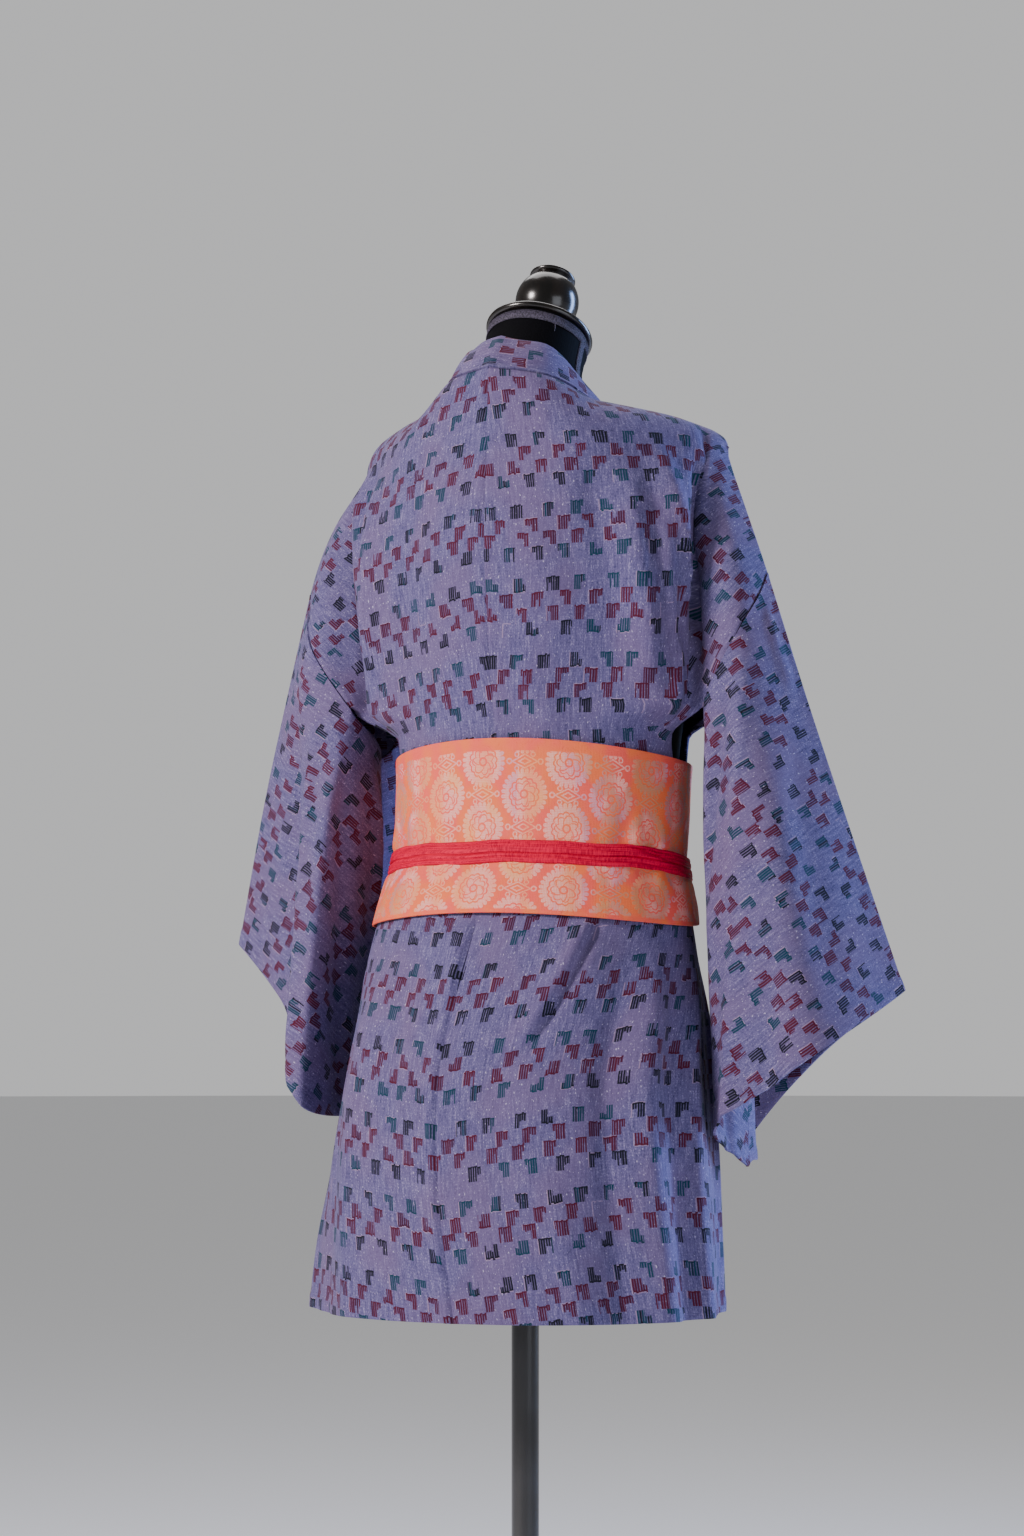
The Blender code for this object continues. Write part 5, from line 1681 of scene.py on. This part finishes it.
def obi_brocade():
    """Coral figured silk: staggered round flower medallions with small scrolls between them."""
    surface, tree = new_material("obi brocade")
    u, v = chart_place(tree)
    u = u + 0.0094
    low_column = (u / COLUMN_PITCH).floor()
    first = medallion_place(u, v, low_column)
    second = medallion_place(u, v, low_column + 1.0)
    first_reach = (first[0] * first[0] + first[1] * first[1]).root()
    second_reach = (second[0] * second[0] + second[1] * second[1]).root()
    nearer = second_reach.less(first_reach)
    aside = first[0] + (second[0] - first[0]) * nearer
    raised = first[1] + (second[1] - first[1]) * nearer
    reach = first_reach.lowest(second_reach) / MEDALLION
    column = low_column + nearer
    number = first[2] + (second[2] - first[2]) * nearer
    turn = raised.bearing(aside)
    chance = luck(tree, column, number)

    scallop = (turn * (PETALS / 2.0)).sine().size()
    rim = scallop * 0.10 + 0.90
    disc = reach.rise(rim, rim - 0.03)
    spokes = scallop.rise(0.34, 0.18) * reach.rise(0.78, 0.84)
    inner_scallop = (turn * (PETALS / 4.0) + chance[1] * 3.0).sine().size()
    ring = (reach - inner_scallop * 0.07 - 0.56).size().rise(0.045, 0.020)
    petals = (turn * 2.5 + chance[0] * 6.0 + reach * 6.0).sine()
    flower = petals.size().rise(0.30, 0.16) * reach.less(0.50)
    inner_rim = ((turn * 3.5).sine().size() * 0.14 + 0.36 - reach).size().rise(0.035, 0.015)
    heart = reach.rise(0.10, 0.12) * reach.rise(0.20, 0.17)
    cut = spokes.highest(ring).highest(flower * 0.9).highest(inner_rim).highest(heart)
    figure = disc * cut.flipped()

    side_step = (u / COLUMN_PITCH + 0.5).fract() - 0.5
    near_column = (u / COLUMN_PITCH + 0.5).floor()
    own = (v - (near_column % 2.0) * (MEDALLION_PITCH / 2) - MEDALLION_FOOT) / MEDALLION_PITCH
    gap = (own.fract() - 0.5) * MEDALLION_PITCH
    step = side_step * COLUMN_PITCH
    lozenge = step.size() / 0.0125 + gap.size() / 0.0062
    scroll = (lozenge - 1.0).size().rise(0.16, 0.08)
    scroll = scroll.highest((lozenge - 0.45).size().rise(0.16, 0.08))
    curl = ((step.size() - 0.0155) * (step.size() - 0.0155) + gap * gap).root() / 0.0030
    scroll = scroll.highest((curl - 0.75).size().rise(0.30, 0.18))
    hook = ((step.size() - 0.0080) * (step.size() - 0.0080) + (gap.size() - 0.0062) * (gap.size() - 0.0062))
    scroll = scroll.highest((hook.root() / 0.0026 - 0.75).size().rise(0.30, 0.18))
    scroll = scroll * disc.flipped()
    woven = figure.highest(scroll * 0.95)

    bands = noise(tree, vector(tree, u * 34.0, v * 5.0, 3.0), detail=1.0)
    flow = noise(tree, vector(tree, u * 40.0, v * 30.0, 7.0), detail=1.0)
    silk = blend(tree, PEACH, PALE_PINK, bands.rise(0.36, 0.52))
    silk = blend(tree, silk, LAVENDER, bands.rise(0.56, 0.64) * 0.75)
    silk = blend(tree, silk, (0.93, 0.47, 0.14), flow.rise(0.56, 0.70) * 0.6)
    # the figures' silk turns olive with distance round from the back's middle, in patches where the flow
    # noise allows
    olive_toward_sides = (u - 0.012).size().rise(0.060, 0.120) * flow.rise(0.34, 0.52)
    silk = blend(tree, silk, OLIVE, olive_toward_sides * 0.60)
    ground = blend(tree, CORAL, ORANGE, flow.rise(0.40, 0.62))

    dot_u, dot_v = (u / 0.0015).fract() - 0.5, (v / 0.0015).fract() - 0.5
    dots = (dot_u * dot_u + dot_v * dot_v).rise(0.14, 0.07)
    shown = woven * (dots * 0.55 + 0.45)
    margin = v.rise(0.0030, 0.0042) * (v - OBI_FIGURED).rise(0.0, -0.0012)
    shown = shown * margin.highest(0.0)
    colour = blend(tree, ground, silk, shown)
    settle(surface, base_color=colour, roughness=0.58, sheen_weight=0.08, sheen_roughness=0.35,
           specular_ior_level=0.35)
    weave = (u / 0.0006 * 2 * pi).sine() * 0.15 + (v / 0.0008 * 2 * pi).sine() * 0.2
    return bumped(surface, woven * 0.8 + dots * 0.5 + weave, 0.5, 0.0006)


# ---------------------------------------------------------------- other finishes
CRIMSON_DEEP = (0.34, 0.0004, 0.022)
CRIMSON = (0.72, 0.0008, 0.050)


def crimson_dyed(surface, tone):
    colour = blend(surface.node_tree, CRIMSON_DEEP, CRIMSON, tone.rise(0.35, 0.62))
    settle(surface, base_color=colour, roughness=0.60, specular_ior_level=0.08)
    return bumped(surface, tone, 0.5, 0.0005)


def tie_crimson():
    """Crimson crepe band with fine crosswise threads."""
    surface, tree = new_material("tie crimson")
    u, v = chart_place(tree)
    cross = noise(tree, vector(tree, u * 900.0, v * 160.0), detail=1.0)
    length = noise(tree, vector(tree, u * 30.0, v * 1400.0, 3.0), detail=1.0)
    return crimson_dyed(surface, cross * 0.5 + length * 0.5)


def crimson_solid():
    """The same crimson for the knot and ends, laid on object places."""
    surface, tree = new_material("tie crimson knotted")
    x, _, z = axes(tree, object_place(tree))
    return crimson_dyed(surface, noise(tree, vector(tree, x * 900.0, z * 500.0), detail=2.0))


def form_jersey():
    """Black knitted cover."""
    surface, tree = new_material("form jersey")
    place = object_place(tree)
    x, _, z = axes(tree, place)
    knit = (z / 0.0009 * 2 * pi).sine() * 0.5 + (x / 0.0011 * 2 * pi).sine() * 0.5
    fluff = noise(tree, place, scale=900.0, detail=2.0)
    tone = knit * 0.25 + fluff
    colour = blend(tree, (0.0012, 0.0012, 0.0020), (0.0040, 0.0040, 0.0060), tone.rise(0.25, 0.85))
    settle(surface, base_color=colour, roughness=0.78, specular_ior_level=0.06)
    return bumped(surface, tone, 0.4, 0.0004)


def braid_thread():
    """Black cotton with pale fluff, as it is knitted into the braid."""
    surface, tree = new_material("braid thread")
    tone = noise(tree, object_place(tree), scale=900.0, detail=2.0)
    colour = blend(tree, (0.010, 0.009, 0.017), (0.120, 0.100, 0.160), tone.rise(0.35, 0.65))
    settle(surface, base_color=colour, roughness=0.70)
    return bumped(surface, tone, 0.4, 0.0002)


def lacquered_wood():
    """Dark lacquered wood: the grain just shows through a clear, slightly uneven coat."""
    surface, tree = new_material("lacquered wood")
    place = object_place(tree)
    stretch = tree.nodes.new("ShaderNodeMapping")
    stretch.inputs["Scale"].default_value = (70.0, 70.0, 14.0)
    tree.links.new(place, stretch.inputs["Vector"])
    grain = noise(tree, stretch.outputs[0], detail=5.0, roughness=0.6)
    colour = blend(tree, (0.003, 0.0024, 0.0022), (0.010, 0.0065, 0.0050), grain.rise(0.38, 0.66))
    smear = noise(tree, place, scale=38.0, detail=3.0)
    settle(surface, base_color=colour, roughness=smear * 0.12 + 0.17, coat_weight=0.25, coat_roughness=0.10)
    return bumped(surface, grain * 0.3 + smear, 0.12, 0.0004)


def black_enamel():
    """Glossy black enamel with the slight orange peel of a sprayed coat."""
    surface, tree = new_material("black enamel")
    place = object_place(tree)
    peel = noise(tree, place, scale=420.0, detail=1.0)
    smear = noise(tree, place, scale=26.0, detail=3.0)
    colour = blend(tree, (0.006, 0.006, 0.007), (0.013, 0.013, 0.015), smear.rise(0.35, 0.65))
    settle(surface, base_color=colour, roughness=smear * 0.14 + 0.12, coat_weight=0.5, coat_roughness=0.08)
    return bumped(surface, peel, 0.08, 0.0003)


# ---------------------------------------------------------------- floor, lights and camera
VIEW_TURN = radians(24.5)   # how far the view is turned from square behind the wearer
VIEW_DISTANCE = 3.5
VIEW_HEIGHT = 0.855
VIEW_PITCH = radians(3.4)
VIEW_ASIDE = 0.012
VIEW_LENS = 90.2            # in millimetres, as the sensor's width is
VIEW_SENSOR = 36.0
TO_CAMERA = Vector((-sin(VIEW_TURN), cos(VIEW_TURN), 0.0))
TO_RIGHT = Vector((-cos(VIEW_TURN), -sin(VIEW_TURN), 0.0))
PALE = (0.80, 0.80, 0.81)
AMBIENT = 0.22              # light from the surround
BACKDROP = 0.72             # how bright the surround itself looks


def make_camera():
    camera = placed("camera", bpy.data.cameras.new("camera"))
    camera.data.lens = VIEW_LENS
    camera.data.sensor_width = VIEW_SENSOR
    camera.data.dof.use_dof = False
    camera.location = TO_CAMERA * VIEW_DISTANCE - TO_RIGHT * VIEW_ASIDE + Vector((0, 0, VIEW_HEIGHT))
    forward = -TO_CAMERA * cos(VIEW_PITCH) + Vector((0, 0, sin(VIEW_PITCH)))
    camera.rotation_euler = forward.to_track_quat("-Z", "Y").to_euler()
    bpy.context.scene.camera = camera


Lamp = namedtuple("Lamp", "name near right up width height power colour")
LAMPS = (
    Lamp("key", 1.5, -2.7, 2.5, 0.8, 0.8, 165, (1.0, 0.92, 0.90)),
    Lamp("fill", 2.6, 1.9, 1.3, 1.8, 1.8, 26, (0.86, 0.90, 1.0)),
    Lamp("rim", -0.7, 2.2, 1.5, 0.6, 1.9, 96, (0.34, 0.52, 1.0)),
    Lamp("top", -1.2, 0.0, 3.2, 1.8, 1.8, 34, (1.0, 0.97, 0.97)),
)
LIT_PLACE = Vector((0.0, 0.0, 1.02))


def make_light(lamp):
    light = bpy.data.lights.new(lamp.name, "AREA")
    light.shape = "RECTANGLE"
    light.size, light.size_y = lamp.width, lamp.height
    light.energy = lamp.power
    light.color = lamp.colour
    thing = placed(lamp.name, light)
    thing.location = TO_CAMERA * lamp.near + TO_RIGHT * lamp.right + Vector((0, 0, lamp.up))
    thing.rotation_euler = (LIT_PLACE - thing.location).to_track_quat("-Z", "Y").to_euler()


def make_studio():
    """A pale floor that runs out into a pale surround, and soft light from above, left and right."""
    world = bpy.data.worlds.new("surround")
    world.use_nodes = True
    tree = world.node_tree
    sky = tree.nodes["Background"]
    sky.inputs[0].default_value = (*PALE, 1.0)
    seen = tree.nodes.new("ShaderNodeLightPath").outputs["Is Camera Ray"]
    strength = Reading(tree, seen) * (BACKDROP - AMBIENT) + AMBIENT
    feed(tree, sky.inputs[1], strength)
    bpy.context.scene.world = world
    shape = bmesh.new()
    bmesh.ops.create_circle(shape, cap_ends=True, radius=30.0, segments=96)
    surface, _ = new_material("floor")
    settle(surface, base_color=PALE, roughness=0.9, emission_color=PALE, emission_strength=0.28)
    floor = from_bmesh("floor", shape, surface)
    for lamp in LAMPS:
        make_light(lamp)


make_camera()
make_studio()
kasuri = kasuri_cloth()
brocade = obi_brocade()
crimson = tie_crimson()
wood = lacquered_wood()
metal = black_enamel()
bodies = [make_body("body_right", RIGHT, kasuri), make_body("body_left", LEFT, kasuri)]
arms = [make_sleeve("sleeve_right", RIGHT, kasuri), make_sleeve("sleeve_left", LEFT, kasuri)]
collar = make_collar(kasuri)
obi = make_obi(brocade)
tie = dress(make_tie(crimson), "waist_tie")
make_tie_front(crimson_solid())
make_form(form_jersey())
make_braid(braid_thread())
make_stand(wood, metal)
